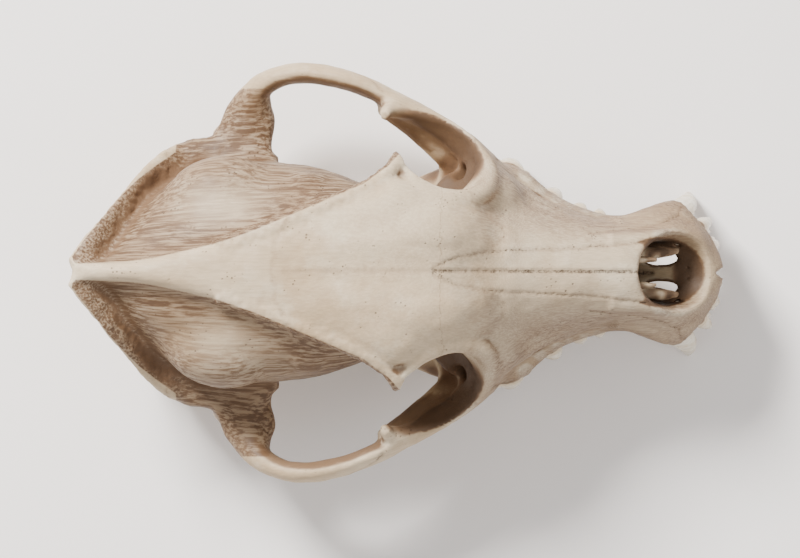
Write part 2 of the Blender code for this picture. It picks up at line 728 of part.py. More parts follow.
def main():
    for obj in list(bpy.data.objects):
        bpy.data.objects.remove(obj)
    skull = new_collection("dog_skull")
    hollows = new_collection("hollows", hidden=True)
    scrolls = new_collection("scroll_bones", hidden=True)
    table = new_collection("table", hidden=True)
    sockets = new_collection("sockets", hidden=True)
    bone = finish("bone", *BONE)
    enamel = finish("enamel", *ENAMEL)
    make_hollows(hollows)
    make_table_cut(table)
    bm = bmesh.new()
    add_limb(bm, TURBINATE)
    cutter("turbinates", bm, scrolls)
    for name, tooth in TEETH.items():
        for side, side_name in ((1, "left"), (-1, "right")):
            made = make_tooth(name + "_" + side_name, tooth, side, enamel, skull)
            make_socket(made, tooth, sockets)
            if name == "canine":
                cut(made, table)
    make_cranium(bone, skull, hollows, scrolls, table, sockets)


main()
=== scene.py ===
"""A dog's skull with its upper teeth, as old dry bone on a pale table.

Each form of bone is a field of distances on one grid. The forms flow into each other, hollows and
tooth sockets are taken out, and the skin of the result is drawn, roughened and cut with the seams
where the skull's bones meet. The tables hold millimetres, measured with the palate nearly level.
"""

import itertools
import math

import bpy
import numpy as np
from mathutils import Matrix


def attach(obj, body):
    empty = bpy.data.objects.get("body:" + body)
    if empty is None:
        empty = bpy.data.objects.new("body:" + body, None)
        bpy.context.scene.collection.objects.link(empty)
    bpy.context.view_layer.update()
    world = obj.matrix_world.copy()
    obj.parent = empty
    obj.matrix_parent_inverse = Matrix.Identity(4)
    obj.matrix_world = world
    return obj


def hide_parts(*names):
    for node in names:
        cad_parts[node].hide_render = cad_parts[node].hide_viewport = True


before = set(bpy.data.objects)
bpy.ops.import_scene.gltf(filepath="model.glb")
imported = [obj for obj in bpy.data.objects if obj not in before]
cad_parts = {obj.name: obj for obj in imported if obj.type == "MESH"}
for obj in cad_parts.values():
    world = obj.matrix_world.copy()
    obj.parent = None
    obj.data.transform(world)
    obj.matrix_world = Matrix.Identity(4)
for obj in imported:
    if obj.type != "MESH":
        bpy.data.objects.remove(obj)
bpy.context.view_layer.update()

import openvdb
from bpy.props import FloatProperty, FloatVectorProperty, IntProperty, PointerProperty
from bpy.types import Operator, Panel, PropertyGroup
from mathutils import Vector
from mathutils.bvhtree import BVHTree
from mathutils.kdtree import KDTree

bl_info = {
    "name": "Dog Skull",
    "version": (1, 0, 0),
    "blender": (4, 5, 0),
    "location": "3D View > Sidebar > Dog Skull",
    "description": "Builds a dog's skull with its teeth, scroll bones and a table to stand on",
    "category": "Add Mesh",
}

MM = 0.001  # metres in a millimetre

# Set down on its canines and jugular processes the skull's back sinks by this much, turning about the
# tips of the canines, and the whole is then moved forward to stand about the middle
REAR_DROP = 6.0
CANINE_TO_JUGULAR = 177.8
CANINE_TIP_X = 95.0
FORWARD_SHIFT = 1.5

CROWN_INSIDE = 0.8  # how far a crown starts inside its socket
SOCKET_ROOM = 0.28  # how far a socket's wall keeps clear of its tooth
ROOT_COVER = 0.9  # how thick the bone over a root is
ROOT_COVER_STARTS = 2.5  # how far above the gum that begins

LEVEL = 0.3  # points below this height stay where they are, so that the skull stands flat

# Seams: how far apart their points are, how far off the surface changes with them, how wide the groove
# is, and where the raised lip beside it lies
SEAM_STEP = 0.35
SEAM_REACH = 3.0
GROOVE_WIDTH = 0.42
LIP_PLACE, LIP_WIDTH, LIP_SHARE = 1.2, 0.5, 0.12

CREST_REACH = 7.0  # how far from a crest the bone is rough

# The picture: its width in pixels, millimetres to a pixel, and how far from straight above
# it looks, in degrees
PICTURE_WIDTH = 800
PIXEL = 0.328
CAMERA_TILT = 0.5

# Sections along the midline: x, height of the section's middle, half width, rise above the middle,
# drop below it, squareness of the upper half, squareness of the lower half
BRAINCASE = (
    (-99.5, 51, 7.5, 20, 9, 1.7, 2), (-94.5, 49, 14.5, 26, 17, 1.7, 2),
    (-88, 48, 21.5, 30, 22.5, 1.8, 2), (-80, 47, 27.5, 33, 26.5, 2, 2),
    (-71, 47, 32.2, 34.5, 28.5, 2, 2), (-58, 47, 35.4, 36, 28, 2, 2), (-44, 48, 36.6, 36.5, 26.5, 2, 2),
    (-30, 51, 34.8, 34.5, 25.5, 2, 2), (-18, 54, 31.5, 32, 24, 2, 2), (-6, 57, 27, 29, 23, 2, 2),
    (6, 58, 23, 27, 22, 2, 2),
)
ROOF = (
    (-106.4, 75, 2.8, 3, 8, 2.4, 2), (-98, 78.5, 2.9, 3.4, 12, 2.4, 2), (-88, 81.5, 3, 3.8, 12, 2.4, 2),
    (-79, 83.5, 4.3, 3.8, 12, 2.4, 2), (-68, 84.5, 6.6, 3.6, 11, 2.4, 2),
    (-56, 84.5, 9.6, 3.8, 10, 2.4, 2), (-45, 84, 13.6, 4.6, 10, 2.6, 2), (-34, 83, 18.2, 6, 11, 2.6, 2),
    (-23, 81.5, 22.8, 8, 12, 2.6, 2), (-12, 79.5, 27, 10.5, 13, 2.6, 2), (-2, 78, 31, 12, 13, 2.5, 2),
    (6, 76.5, 28.6, 12.5, 13, 2.4, 2), (16, 73.5, 25, 12.5, 13, 2.2, 2), (26, 69, 22, 11, 13, 2.2, 2),
    (34, 64, 17, 10, 12, 2.2, 2),
)
SNOUT = (
    (103.6, 33, 9, 4, 4, 2.2, 2.4), (99, 34.5, 15, 12, 6, 2.2, 2.6), (90, 35.5, 18.6, 20, 7, 2.3, 3),
    (78, 35, 17.4, 28, 7.5, 2.4, 3), (66, 34, 17.8, 32, 7.5, 2.4, 3), (54, 33, 20.5, 36, 8, 2.3, 3),
    (42, 32, 25, 40.5, 8.5, 2.2, 3), (30, 31.5, 28.5, 46, 9, 2.1, 3), (18, 33, 27, 53, 12, 2.1, 2.6),
    (6, 38, 23, 51, 15, 2.2, 2.4), (-8, 46, 19, 42, 15, 2.2, 2),
)
SKULL_BASE = (
    (-92, 22.5, 9, 5, 3.5, 2.4, 2.4), (-80, 22.5, 13, 6, 3.5, 2.4, 2.6),
    (-62, 23.5, 14, 6, 3.5, 2.4, 2.6), (-45, 25.5, 12, 6, 3, 2.4, 2.4), (-25, 28, 9.5, 6, 3, 2.4, 2.2),
    (-5, 30.5, 9, 6, 3, 2.4, 2), (12, 31.5, 8, 6, 3, 2.4, 2),
)

# Hollows along the midline, with the same columns
BRAIN = (
    (-86, 43, 11, 12, 9, 2, 2), (-78, 46, 22, 24, 17, 2, 2), (-64, 47, 28.5, 30, 21.5, 2, 2),
    (-46, 48, 28.5, 29, 20, 2, 2), (-30, 51, 25, 25, 21, 2, 2.5), (-18, 55, 18, 16, 19, 2, 2.5),
    (-12, 57, 9, 9, 11, 2, 2.2),
)
FORAMEN_MAGNUM = (
    (-112, 32, 11.5, 13.5, 8.5, 2, 2), (-96, 33, 9.8, 12.5, 7.2, 2, 2), (-88, 34, 9, 12, 6.8, 2, 2),
    (-76, 37, 9, 11.5, 7, 2, 2),
)
NASAL_PASSAGE = (
    (98, 46.5, 8.8, 12, 8.5, 2, 2.2), (92, 46, 10.2, 12, 10.5, 2, 2.4),
    (80, 45.5, 10.5, 14, 12.5, 2.1, 2.4), (68, 45.5, 10.5, 17, 13, 2.1, 2.4),
    (52, 45, 12.5, 20, 13.5, 2.1, 2.4), (38, 45, 14.5, 22, 14.5, 2, 2.4), (24, 44, 13, 20, 13, 2, 2.2),
    (14, 38, 9.5, 16.5, 11, 2, 2.2), (6, 27.5, 7.2, 6, 6, 2, 2.4), (-6, 23, 6.6, 6.5, 6.5, 2, 2.4),
    (-20, 18, 6.4, 8.5, 8, 2, 2.4), (-36, 13, 6.4, 11.5, 8, 2, 2.4),
)

# Limbs of bone on the left side: x, y, z, half thickness, half height
ZYGOMATIC_ARCH = (
    (40, 17, 36, 5, 10), (33, 25, 38, 5.5, 13), (26, 36, 39.5, 5.2, 13.8), (18, 44, 39.8, 4.4, 11.3),
    (9, 50, 42, 3.8, 10.2), (-1, 55.8, 44, 3.5, 9.4), (-11, 61, 45.6, 3.3, 8.3),
    (-21, 64.4, 46.4, 3.3, 7.4), (-31, 66, 45.6, 3.4, 6.6), (-40, 65, 43.6, 3.6, 5.8),
    (-47.5, 60.8, 41, 4.3, 5.2), (-51, 53.5, 38.5, 6.4, 4.6), (-52.5, 45, 37.5, 8.2, 4.8),
    (-54, 34, 37, 10, 6),
)
CHEEK_SHELF = (
    (33, 28.5, 33.5, 6, 5), (25, 35, 34, 6.4, 4.8), (17, 39.6, 35.6, 6, 4.6), (9.5, 44.6, 38, 4.8, 4.6),
    (2, 49.6, 41, 3.8, 4.6), (-6, 55, 43.6, 3, 4.4),
)
ORBIT_FLOOR = (
    (32, 24, 33.5, 8, 4), (24, 28, 33, 8.5, 3.6), (17, 30, 32.4, 7.5, 3.2), (12, 31, 32, 4.5, 2.6),
)
ORBIT_RIM = (
    (-5, 51.5, 58, 1.6, 1.8), (-3.5, 53.5, 53, 2.8, 2.8), (3, 53.2, 50, 2.6, 2.6),
    (11, 50.2, 49.6, 2.6, 2.6), (19, 45, 51.5, 2.8, 2.8), (25.8, 39, 55.5, 3, 3),
    (29, 32.8, 61, 3.2, 3.2), (28.8, 27.6, 67.5, 3.2, 3.2), (24.6, 24.4, 72.6, 3.2, 3.2),
    (17.5, 23.4, 76, 3.2, 3.2), (10, 26, 77.2, 3.2, 3.2), (4.2, 31.2, 76.4, 3.1, 3),
    (0.5, 37.8, 74, 2.2, 2.2),
)
TEMPORAL_LINE = (
    (-58, 8.6, 85, 1.9, 2.2), (-46, 12.6, 85.6, 1.9, 2.2), (-34, 17.6, 85.4, 1.9, 2.2),
    (-22, 22.6, 84.4, 2, 2.3), (-11, 27.2, 82.6, 2.1, 2.4), (-3, 33, 79.2, 2.2, 2.6),
    (0.5, 37.6, 75.5, 2.3, 2.6),
)
NUCHAL_CREST = (
    (-104.5, 1.5, 74.5, 2.6, 4.5), (-100.5, 7.2, 72.5, 2.2, 5), (-95.5, 13.6, 68.5, 2.1, 5),
    (-90.5, 20.4, 63, 2.1, 5), (-86, 25.8, 56, 2.3, 6), (-81.5, 30.6, 48.5, 2.7, 6.4),
    (-76, 35.4, 42, 3.1, 6), (-70, 40, 36.5, 3, 4.2),
)
MEATUS_SHELF = (
    (-79, 33, 43, 4, 3.2), (-72, 36.8, 39.5, 5.8, 3.8), (-64, 38, 38.5, 7.2, 4),
    (-54, 38.4, 38.5, 6.4, 4), (-43, 34, 40.5, 4.6, 3.4),
)
JUGULAR_PROCESS = (
    (-86, 20.5, 34, 8, 5), (-85.5, 22, 26, 6.8, 4), (-84.6, 23.4, 18, 5.6, 3.4),
    (-83.6, 24.5, 11, 4.6, 3), (-82.8, 25, 3.5, 3.8, 2.8),
)
RETROARTICULAR_PROCESS = ((-55, 47, 37, 6.5, 4), (-57.5, 46.5, 30, 6, 3.2), (-59, 46, 24.5, 3.4, 2))
PTERYGOID_PLATE = (
    (20, 14, 27, 3, 7), (8, 11.5, 24.5, 2.4, 7), (-4, 9.8, 23, 1.8, 8), (-16, 9, 22.5, 1.7, 8.5),
    (-26, 8.6, 22, 1.6, 9), (-34, 8.6, 19.5, 1.5, 6),
)
TOOTH_RIDGE = (
    (102.6, 0.5, 32.5, 4.2, 5.5), (100.6, 6.5, 32.5, 4.2, 5.5), (96.2, 12.8, 32.5, 4.5, 6),
    (89, 17.2, 33, 5.4, 7), (80, 15.8, 32, 4.4, 6.4), (69, 14.8, 31, 4.4, 6.5),
    (58, 17.4, 30, 4.7, 6.8), (47, 22.2, 28.8, 5.1, 7), (36, 29.6, 27.6, 6, 7.2),
    (26, 30, 26.8, 7.2, 7.4), (15, 27.2, 26.2, 8.2, 7.6), (6, 25.2, 26, 7, 7.6),
    (0.5, 24.2, 26.4, 5, 7),
)
CANINE_BULGE = (
    (90, 18.5, 29, 6, 5.5), (86, 17.8, 35, 5.8, 5.2), (80, 15.6, 41, 5.6, 5.2),
    (72, 13.8, 45, 4.8, 4.6),
)
MAXILLA_WALL = (
    (64, 13.6, 38, 4, 8), (54, 16.4, 38.5, 4.8, 9), (44, 20.5, 39.5, 6, 10), (34, 24.5, 41, 7, 11.5),
    (26, 27, 43, 7, 12),
)
NASAL_BONE_TIP = (
    (70, 8.5, 59.5, 4, 2.6), (79, 10, 56.8, 3.2, 2.4), (85, 11.2, 54.8, 2.2, 2),
    (89, 11.8, 53, 1.2, 1.2),
)

# Round masses: centre x, y, z, then radii along x, y and z, and a turn about z in degrees
CHEEK = (25, 24, 50, 15, 12, 18, 0)
FRONTAL_SINUS = (4, 12.5, 78, 21, 12, 11.5, 0)
TYMPANIC_BULLA = (-64, 20.5, 18.2, 14.5, 9.8, 11.0, -14)
EAR_LIP = (-66.5, 33.5, 27.5, 6.5, 6.0, 6.5, 0)
OCCIPITAL_CONDYLE = (-89, 11.5, 28.5, 6.0, 6.2, 9.5, 0)
MASTOID = (-77, 29.5, 34, 9.5, 9.0, 11.0, 0)
JAW_SOCKET_ROOF = (-51, 50, 37.5, 9.0, 9.0, 4.5, 0)

# Round hollows, with the same columns
EYE_SOCKET_BACK = (9.0, 37.0, 60.5, 16.0, 16.5, 14.5, 0)
EYE_SOCKET_MOUTH = (13.6, 42.4, 69.3, 15.6, 15.8, 15.0, 0)
NOSE_OPENING = (95.5, 0, 57, 17.8, 14.4, 19.3, 0)
PALATINE_FISSURE = (86, 5.0, 28, 6.5, 2.6, 12.0, 0)
EAR_OPENING = (-67, 38, 27.5, 4.0, 9.0, 4.0, 0)
INFRAORBITAL_CANAL = (
    (57, 24.5, 40, 3.2, 4.4), (49, 25.2, 39.5, 2.8, 4.2), (41, 25.6, 40.5, 2.6, 3.8),
    (33, 27.5, 42, 2.6, 3.4), (24, 31, 46, 2.8, 3.2), (15, 35.5, 51, 3, 3.2),
)


def cusp(forward, outward, lean_forward, lean_outward, drop, half_long, half_wide, edge=0.14):
    """Sections of one cusp from the gum to its tip, which stays as long as the edge's share."""
    inside = -CROWN_INSIDE / drop
    shape = ((inside, 1, 1), (0.05, 1, 1), (0.35, 0.95, 0.9), (0.7, 0.66, 0.58), (0.92, 0.36, 0.28))
    shape += ((1, edge, 0.12),)
    return tuple(
        (
            forward + lean_forward * max(t, 0),
            outward + lean_outward * max(t, 0),
            drop * t,
            half_long * max(long, edge),
            half_wide * wide,
        )
        for t, long, wide in shape
    )


def root(forward, outward, lean_forward, lean_outward, rise, half_long, half_wide):
    """Sections of one root from inside the crown up to its apex."""
    shape = ((-0.1, 1.0), (0.6, 0.86), (1, 0.42))
    return tuple(
        (
            forward + lean_forward * t,
            outward + lean_outward * t,
            -rise * t,
            half_long * size,
            half_wide * size,
        )
        for t, size in shape
    )


CANINE_CROWN = (
    (-0.2, 0, -0.8, 6, 4), (0, 0, 0.2, 6.1, 4.1), (2.8, 1.6, 7, 5.7, 3.8), (5.2, 3.6, 14, 4.5, 3.1),
    (6.6, 5.8, 20.5, 2.9, 2.1), (6.9, 7.4, 25.5, 1.6, 1.3), (6.8, 8.2, 28.5, 1, 0.9),
)
CANINE_ROOT = (
    (0.4, 0.2, 1, 5.4, 3.6), (-6.6, -2.2, -7, 5.9, 3.4), (-12.5, -4, -12, 4.8, 2.6),
    (-16.5, -5, -15.5, 2.6, 1.7),
)

# Teeth of the left side: where the tooth stands on the gum, the way its outer face looks in degrees
# from the nose, then its cusps and its roots
TEETH = {
    "incisor_1": (
        (102.0, 2.9, 27.4), 8,
        (cusp(0, 0, 0.2, 3.8, 12.0, 2.5, 3.0, 0.62),),
        (root(0, 0, 0, -6.5, 8.5, 2.0, 2.5),),
    ),
    "incisor_2": (
        (100.3, 8.6, 27.2), 16,
        (cusp(0, 0, 0.2, 4.6, 12.8, 2.9, 3.4, 0.55),),
        (root(0, 0, 0, -7.0, 9, 2.3, 2.8),),
    ),
    "incisor_3": (
        (96.9, 14.3, 26.9), 27,
        (cusp(0, 0, -0.6, 6.6, 15.2, 3.0, 3.5, 0.2),),
        (root(0, 0, 1.0, -7.0, 13, 2.5, 2.8),),
    ),
    "canine": ((88.2, 18.8, 27.0), 90, (CANINE_CROWN,), (CANINE_ROOT,)),
    "premolar_1": (
        (64.8, 17.5, 23.9), 84,
        (cusp(0, 0, 0.3, 3.9, 6.6, 2.7, 2.4),),
        (root(0, 0, -0.8, -1.2, 9, 2.0, 1.9),),
    ),
    "premolar_2": (
        (57.2, 19.6, 23.1), 74,
        (
            cusp(0.6, 0, 0.4, 4.2, 8.0, 3.5, 2.5),
            cusp(-2.8, 0, -0.3, 1.9, 5.0, 2.1, 2.1),
            cusp(0, 0, 0, 0.8, 3.4, 4.6, 2.5, 0.6),
        ),
        (root(2.3, 0, 0.5, -1.2, 10, 1.8, 1.8), root(-2.5, 0, -0.5, -1.2, 10, 1.8, 1.8)),
    ),
    "premolar_3": (
        (47.8, 24.3, 22.0), 62,
        (
            cusp(0.6, 0, 0.5, 5.0, 9.4, 4.2, 2.9),
            cusp(-3.6, 0, -0.3, 2.0, 5.8, 2.3, 2.3),
            cusp(0, 0, 0, 0.8, 3.8, 5.5, 2.8, 0.6),
        ),
        (root(2.9, 0, 0.5, -1.2, 11, 2.0, 2.0), root(-3.1, 0, -0.5, -1.2, 11, 2.0, 2.0)),
    ),
    "premolar_4": (
        (33.6, 32.6, 20.4), 70,
        (
            cusp(1.2, 1.0, -0.6, 5.0, 13.6, 5.2, 3.7),
            cusp(-5.2, 0.8, -0.6, 3.2, 10.0, 4.5, 3.1, 0.4),
            cusp(5.4, -2.8, 0.2, 0.4, 5.0, 2.9, 2.9),
            cusp(6.2, 0.8, 0.3, 2.0, 6.4, 2.9, 2.8),
            cusp(0, 0, 0, 0.8, 4.0, 9.0, 4.0, 0.7),
        ),
        (
            root(5.8, 1.2, 0.6, -1.0, 11, 2.3, 2.2),
            root(5.0, -2.8, 0.4, -2.0, 9, 1.9, 1.9),
            root(-5.0, 0.4, -0.8, -1.0, 11, 3.0, 2.4),
        ),
    ),
    "molar_1": (
        (16.4, 27.6, 18.9), 92,
        (
            cusp(3.0, 4.3, 0, 0.8, 8.4, 3.5, 3.3),
            cusp(-3.1, 4.1, 0, 0.8, 7.4, 3.3, 3.1),
            cusp(1.0, -3.0, 0, 0.2, 5.2, 3.7, 3.5),
            cusp(-1.6, -5.2, 0, 0, 3.8, 3.4, 2.6, 0.4),
            cusp(0, 1.0, 0, 0, 3.2, 6.2, 6.4, 0.75),
        ),
        (
            root(3.1, 4.2, 0.3, -0.6, 9, 2.1, 2.1),
            root(-3.2, 4.0, -0.3, -0.6, 9, 2.1, 2.1),
            root(-0.2, -4.0, 0, -1.4, 9, 2.5, 2.3),
        ),
    ),
    "molar_2": (
        (5.6, 25.2, 18.9), 97,
        (
            cusp(1.3, 2.5, 0, 0.3, 4.6, 2.4, 2.3),
            cusp(-1.7, 2.2, 0, 0.3, 3.8, 2.1, 2.1),
            cusp(0, -2.4, 0, 0, 3.4, 2.8, 2.6, 0.3),
            cusp(0, 0, 0, 0, 2.4, 3.7, 4.8, 0.75),
        ),
        (root(0.2, 2.4, 0, -0.4, 7, 2.4, 1.7), root(0, -2.4, 0, -0.8, 7, 2.0, 1.7)),
    ),
}

# Smaller forms and hollows that show only close up, in the same columns
VOMER = (
    (74, 0, 38, 0.9, 3.5), (55, 0, 36, 0.9, 4.5), (35, 0, 34.5, 0.9, 5), (16, 0, 33, 0.9, 5),
    (0, 0, 29.5, 0.8, 3.5), (-14, 0, 27, 0.8, 2.5),
)
OCCIPITAL_RIDGE = (
    (-104.5, 0, 72, 2.2, 2.2), (-102, 0, 63, 1.6, 1.6), (-98.5, 0, 54, 1.5, 1.5),
    (-96, 0, 46, 1.2, 1.2),
)
PTERYGOID_HOOK = ((-30, 8.6, 15.5, 1.3, 2.2), (-35, 9, 12, 1.2, 1.6), (-38.5, 9.8, 10.4, 0.9, 1))
MASSETER_RIDGE = (
    (32, 27.5, 26.8, 2.6, 2.4), (24, 38.5, 27.8, 2, 2.2), (15, 47, 29.8, 1.8, 2),
    (4, 53.8, 32.8, 1.6, 1.8), (-9, 60.6, 36.2, 1.4, 1.6), (-22, 64.8, 38.9, 1.3, 1.5),
    (-34, 66.2, 39.2, 1.4, 1.5),
)
OPTIC_CANAL = ((-4, 24, 45.5, 1.6, 1.8), (-10, 19, 46, 1.5, 1.6), (-18, 11, 47, 1.5, 1.5))
ORBITAL_FISSURE = ((-9, 25, 38.5, 1.9, 2.5), (-16, 20, 39.5, 1.8, 2.2), (-27, 14, 41, 1.8, 2))
ROUND_CANAL = ((-13, 23, 32.5, 1.5, 1.7), (-21, 18.5, 33.5, 1.5, 1.6), (-33, 15, 37, 1.5, 1.6))
OVAL_OPENING = ((-42, 17, 20, 2.2, 1.8), (-43, 16.5, 29, 2, 1.7), (-44, 15, 38, 2, 1.7))
JUGULAR_OPENING = ((-79, 13.5, 17.5, 1.8, 2.2), (-78, 13.5, 24, 1.6, 1.8), (-76, 13, 32, 1.6, 1.8))
HYPOGLOSSAL_OPENING = (
    (-83.5, 12.5, 17, 1.2, 1.2), (-82, 11, 23, 1.1, 1.1), (-80, 9.5, 30, 1.1, 1.1),
)
RETROARTICULAR_OPENING = (
    (-60.5, 43.5, 29.5, 1.5, 1.5), (-60.5, 39, 33.5, 1.5, 1.5), (-60, 34, 37, 1.4, 1.4),
)
PALATINE_OPENING = ((43, 9.5, 21.5, 0.9, 1.2), (38, 9.6, 24, 1.1, 1.2), (32, 9.8, 29, 1, 1.1))
SMALL_PALATINE_OPENING = (
    (32, 12.5, 21.5, 0.7, 0.7), (30, 12.5, 25, 0.7, 0.7), (27, 12.4, 29, 0.7, 0.7),
)
LACRIMAL_OPENING = ((20.5, 33, 60.5, 1.3, 1.3), (25, 28, 57, 1.2, 1.2), (31, 22, 53, 1.1, 1.1))
PALATE_GROOVE = (
    (80, 8.6, 26.4, 1.5, 1.1), (66, 8.4, 25.4, 1.5, 1.1), (52, 9.2, 24.2, 1.5, 1.1),
    (43, 9.4, 23, 1.4, 1.1),
)
BROW_FURROW = (
    (-22, 0, 96.5, 7, 5), (-10, 0, 97, 9, 6.4), (2, 0, 96.8, 9, 6.6), (14, 0, 94.5, 8, 6.4),
    (26, 0, 87.5, 7, 5.6), (38, 0, 80, 5, 4.2),
)

SUPRAOCCIPITAL = (-93, 0, 56, 9.0, 10.0, 12.0, 0)
BASE_KNOB = (-76, 5.6, 19.4, 7.0, 2.8, 2.2, 0)
BULLA_NECK = (-50.5, 20.5, 22.5, 5.0, 5.0, 5.0, 0)
PARIETAL_SWELL = (-58, 26, 62, 17, 12, 13, 0)
FRONT_SWELL = (-31, 22, 62, 13, 11, 13, 0)

# The side lobes of the left incisors, as cusps
INCISOR_LOBES = {
    "incisor_1": (
        (-1.7, 0, -0.3, 3.1, 10.0, 1.15, 2.3, 0.4),
        (1.7, 0, 0.3, 3.1, 10.0, 1.15, 2.3, 0.4),
    ),
    "incisor_2": (
        (-2.0, 0, -0.3, 3.8, 10.6, 1.3, 2.6, 0.4),
        (2.0, 0, 0.3, 3.8, 10.6, 1.3, 2.6, 0.4),
    ),
    "incisor_3": ((2.2, 0, 0.6, 4.6, 11.0, 1.3, 2.4, 0.35),),
}

# The outer edge of the flat roof, where the jaw muscle's ground begins: x, and half the roof's width
ROOF_EDGE = (
    (-107, 2.4), (-98, 2.8), (-88, 3.2), (-79, 4.4), (-68, 6.9), (-58, 9.2), (-46, 13.4), (-34, 18.5),
    (-22, 23.6), (-11, 28.4), (-3, 34.4), (1, 39),
)

# Where two bones of the skull meet: the view the seam is drawn in, where the eye starts, how far the
# seam wanders, how faint it is, then points across that view. Seen from above or below they are x
# and y, and from the side x and z.
SEAMS = {
    "between_nasals": ("above", 130, 0.25, 0.0, ((86, 0), (70, 0), (50, 0), (30, 0), (13, 0))),
    "between_frontals": ("above", 130, 0.6, 0.42, ((13, 0), (2, 0), (-10, 0), (-22, 0), (-36, 0))),
    "nasal_side": (
        "above", 130, 0.3, 0.15,
        ((83, 10.2), (74, 9.2), (62, 8.0), (48, 7.2), (34, 6.6), (26, 5.4), (18, 3.4), (12.5, 0.4)),
    ),
    "maxilla_frontal": (
        "above", 130, 0.8, 0.38,
        ((31, 6.4), (36, 10.5), (35, 15.5), (30, 19), (27, 22.5), (25, 26)),
    ),
    "incisive_side": (
        "beside", 80, 0.35, 0.2,
        ((93.5, 29), (92.5, 36), (90, 43), (84, 49.5), (76, 54), (68, 57.5), (62, 60)),
    ),
    "coronal_top": ("above", 130, 0.7, 0.45, ((-39, 0.5), (-38.5, 7), (-35.5, 15), (-30, 22), (-27, 27.5))),
    "coronal_side": ("beside", 45, 0.5, 0.35, ((-27, 73), (-29.5, 66), (-29, 59), (-25, 52), (-22, 46))),
    "squamous": (
        "beside", 47, 0.5, 0.2,
        ((-25, 47), (-32, 53), (-42, 60), (-54, 63.5), (-65, 61), (-73, 54.5), (-77, 47), (-78, 42)),
    ),
    "arch": (
        "beside", 90, 0.35, 0.1,
        ((-6, 53), (-11, 50), (-18, 47.5), (-26, 44.6), (-34, 41), (-40, 37.2)),
    ),
    "cheek": ("beside", 90, 0.5, 0.2, ((24, 56), (28, 50), (31.5, 43), (31, 36), (27, 31), (22, 28))),
    "palate_middle": ("below", -30, 0.3, 0.1, ((99, 0), (80, 0), (60, 0), (40, 0), (20, 0), (4, 0))),
    "palate_across": (
        "below", -30, 0.6, 0.1,
        ((43, 0), (42.5, 5), (39, 10), (33, 14.5), (26, 17.5), (20, 19)),
    ),
    "base_across": ("below", -30, 0.4, 0.15, ((-53, -11.5), (-53.5, -4), (-53.5, 4), (-53, 11.5))),
    "incisive_below": ("below", -30, 0.4, 0.2, ((80, 0.5), (80.5, 4), (83, 9), (90, 12.5), (93.5, 15))),
}

REACH = 13  # how many grains from a surface its distances are kept
BONE_LOW, BONE_HIGH = (-112, -2.6, -4), (112, 74, 92)  # round the left half, a little over the midline
MIDLINE_CORNERS = 40
LIMB_CORNERS = 16


def curve_through(rows, per_gap=4):
    """The rows, with more between each two, on a Catmull-Rom curve through them."""
    rows = np.array(rows, float)
    ends = np.vstack([2 * rows[0] - rows[1], rows, 2 * rows[-1] - rows[-2]])
    found = []
    for before, start, end, after in zip(ends, ends[1:], ends[2:], ends[3:]):
        for t in np.linspace(0, 1, per_gap, endpoint=False):
            bend = 2 * before - 5 * start + 4 * end - after
            twist = 3 * start - before - 3 * end + after
            found.append(start + (t * (end - before) + t * t * bend + t**3 * twist) / 2)
    return np.array(found + [rows[-1]])


def settled(points):
    """Points of the tables where they end up once the skull is set down, in millimetres."""
    points = np.asarray(points, float)
    turn = math.atan(REAR_DROP / CANINE_TO_JUGULAR)
    behind = points[..., 0] - CANINE_TIP_X
    high = points[..., 2]
    return np.stack(
        (
            CANINE_TIP_X + FORWARD_SHIFT + behind * math.cos(turn) - high * math.sin(turn),
            points[..., 1],
            behind * math.sin(turn) + high * math.cos(turn),
        ),
        axis=-1,
    )


def unsettled(points):
    """Points of the settled skull where the tables have them."""
    turn = math.atan(REAR_DROP / CANINE_TO_JUGULAR)
    behind = points[:, 0] - CANINE_TIP_X - FORWARD_SHIFT
    return np.stack(
        (
            CANINE_TIP_X + behind * math.cos(turn) + points[:, 2] * math.sin(turn),
            points[:, 1],
            points[:, 2] * math.cos(turn) - behind * math.sin(turn),
        ),
        axis=1,
    )


def skin_of_rings(rings):
    """Points and triangles of a closed skin over rings of points."""
    rings = np.asarray(rings, float)
    count, corners = rings.shape[:2]
    points = np.vstack([rings.reshape(-1, 3), rings[0].mean(0), rings[-1].mean(0)])
    triangles = []
    for i in range(count - 1):
        for k in range(corners):
            a, b = i * corners + k, i * corners + (k + 1) % corners
            triangles += [(a, b, b + corners), (a, b + corners, a + corners)]
    first, last = len(points) - 2, len(points) - 1
    for k in range(corners):
        after = (k + 1) % corners
        triangles.append((first, after, k))
        triangles.append((last, (count - 1) * corners + k, (count - 1) * corners + after))
    return points, np.array(triangles)


def midline_skin(rows):
    """A form along the midline, through its upright sections."""
    rows = curve_through(rows)
    turn = np.linspace(0, 2 * math.pi, MIDLINE_CORNERS, endpoint=False)
    rings = []
    for x, middle, half_width, rise, drop, square_up, square_down in rows:
        square = np.where(np.sin(turn) >= 0, square_up, square_down)
        across = np.sign(np.cos(turn)) * np.abs(np.cos(turn)) ** (2 / square)
        up = np.sign(np.sin(turn)) * np.abs(np.sin(turn)) ** (2 / square)
        tall = np.where(np.sin(turn) >= 0, rise, drop)
        rings.append(np.stack((np.full_like(turn, x), across * half_width, middle + up * tall), axis=1))
    return [skin_of_rings(settled(rings))]


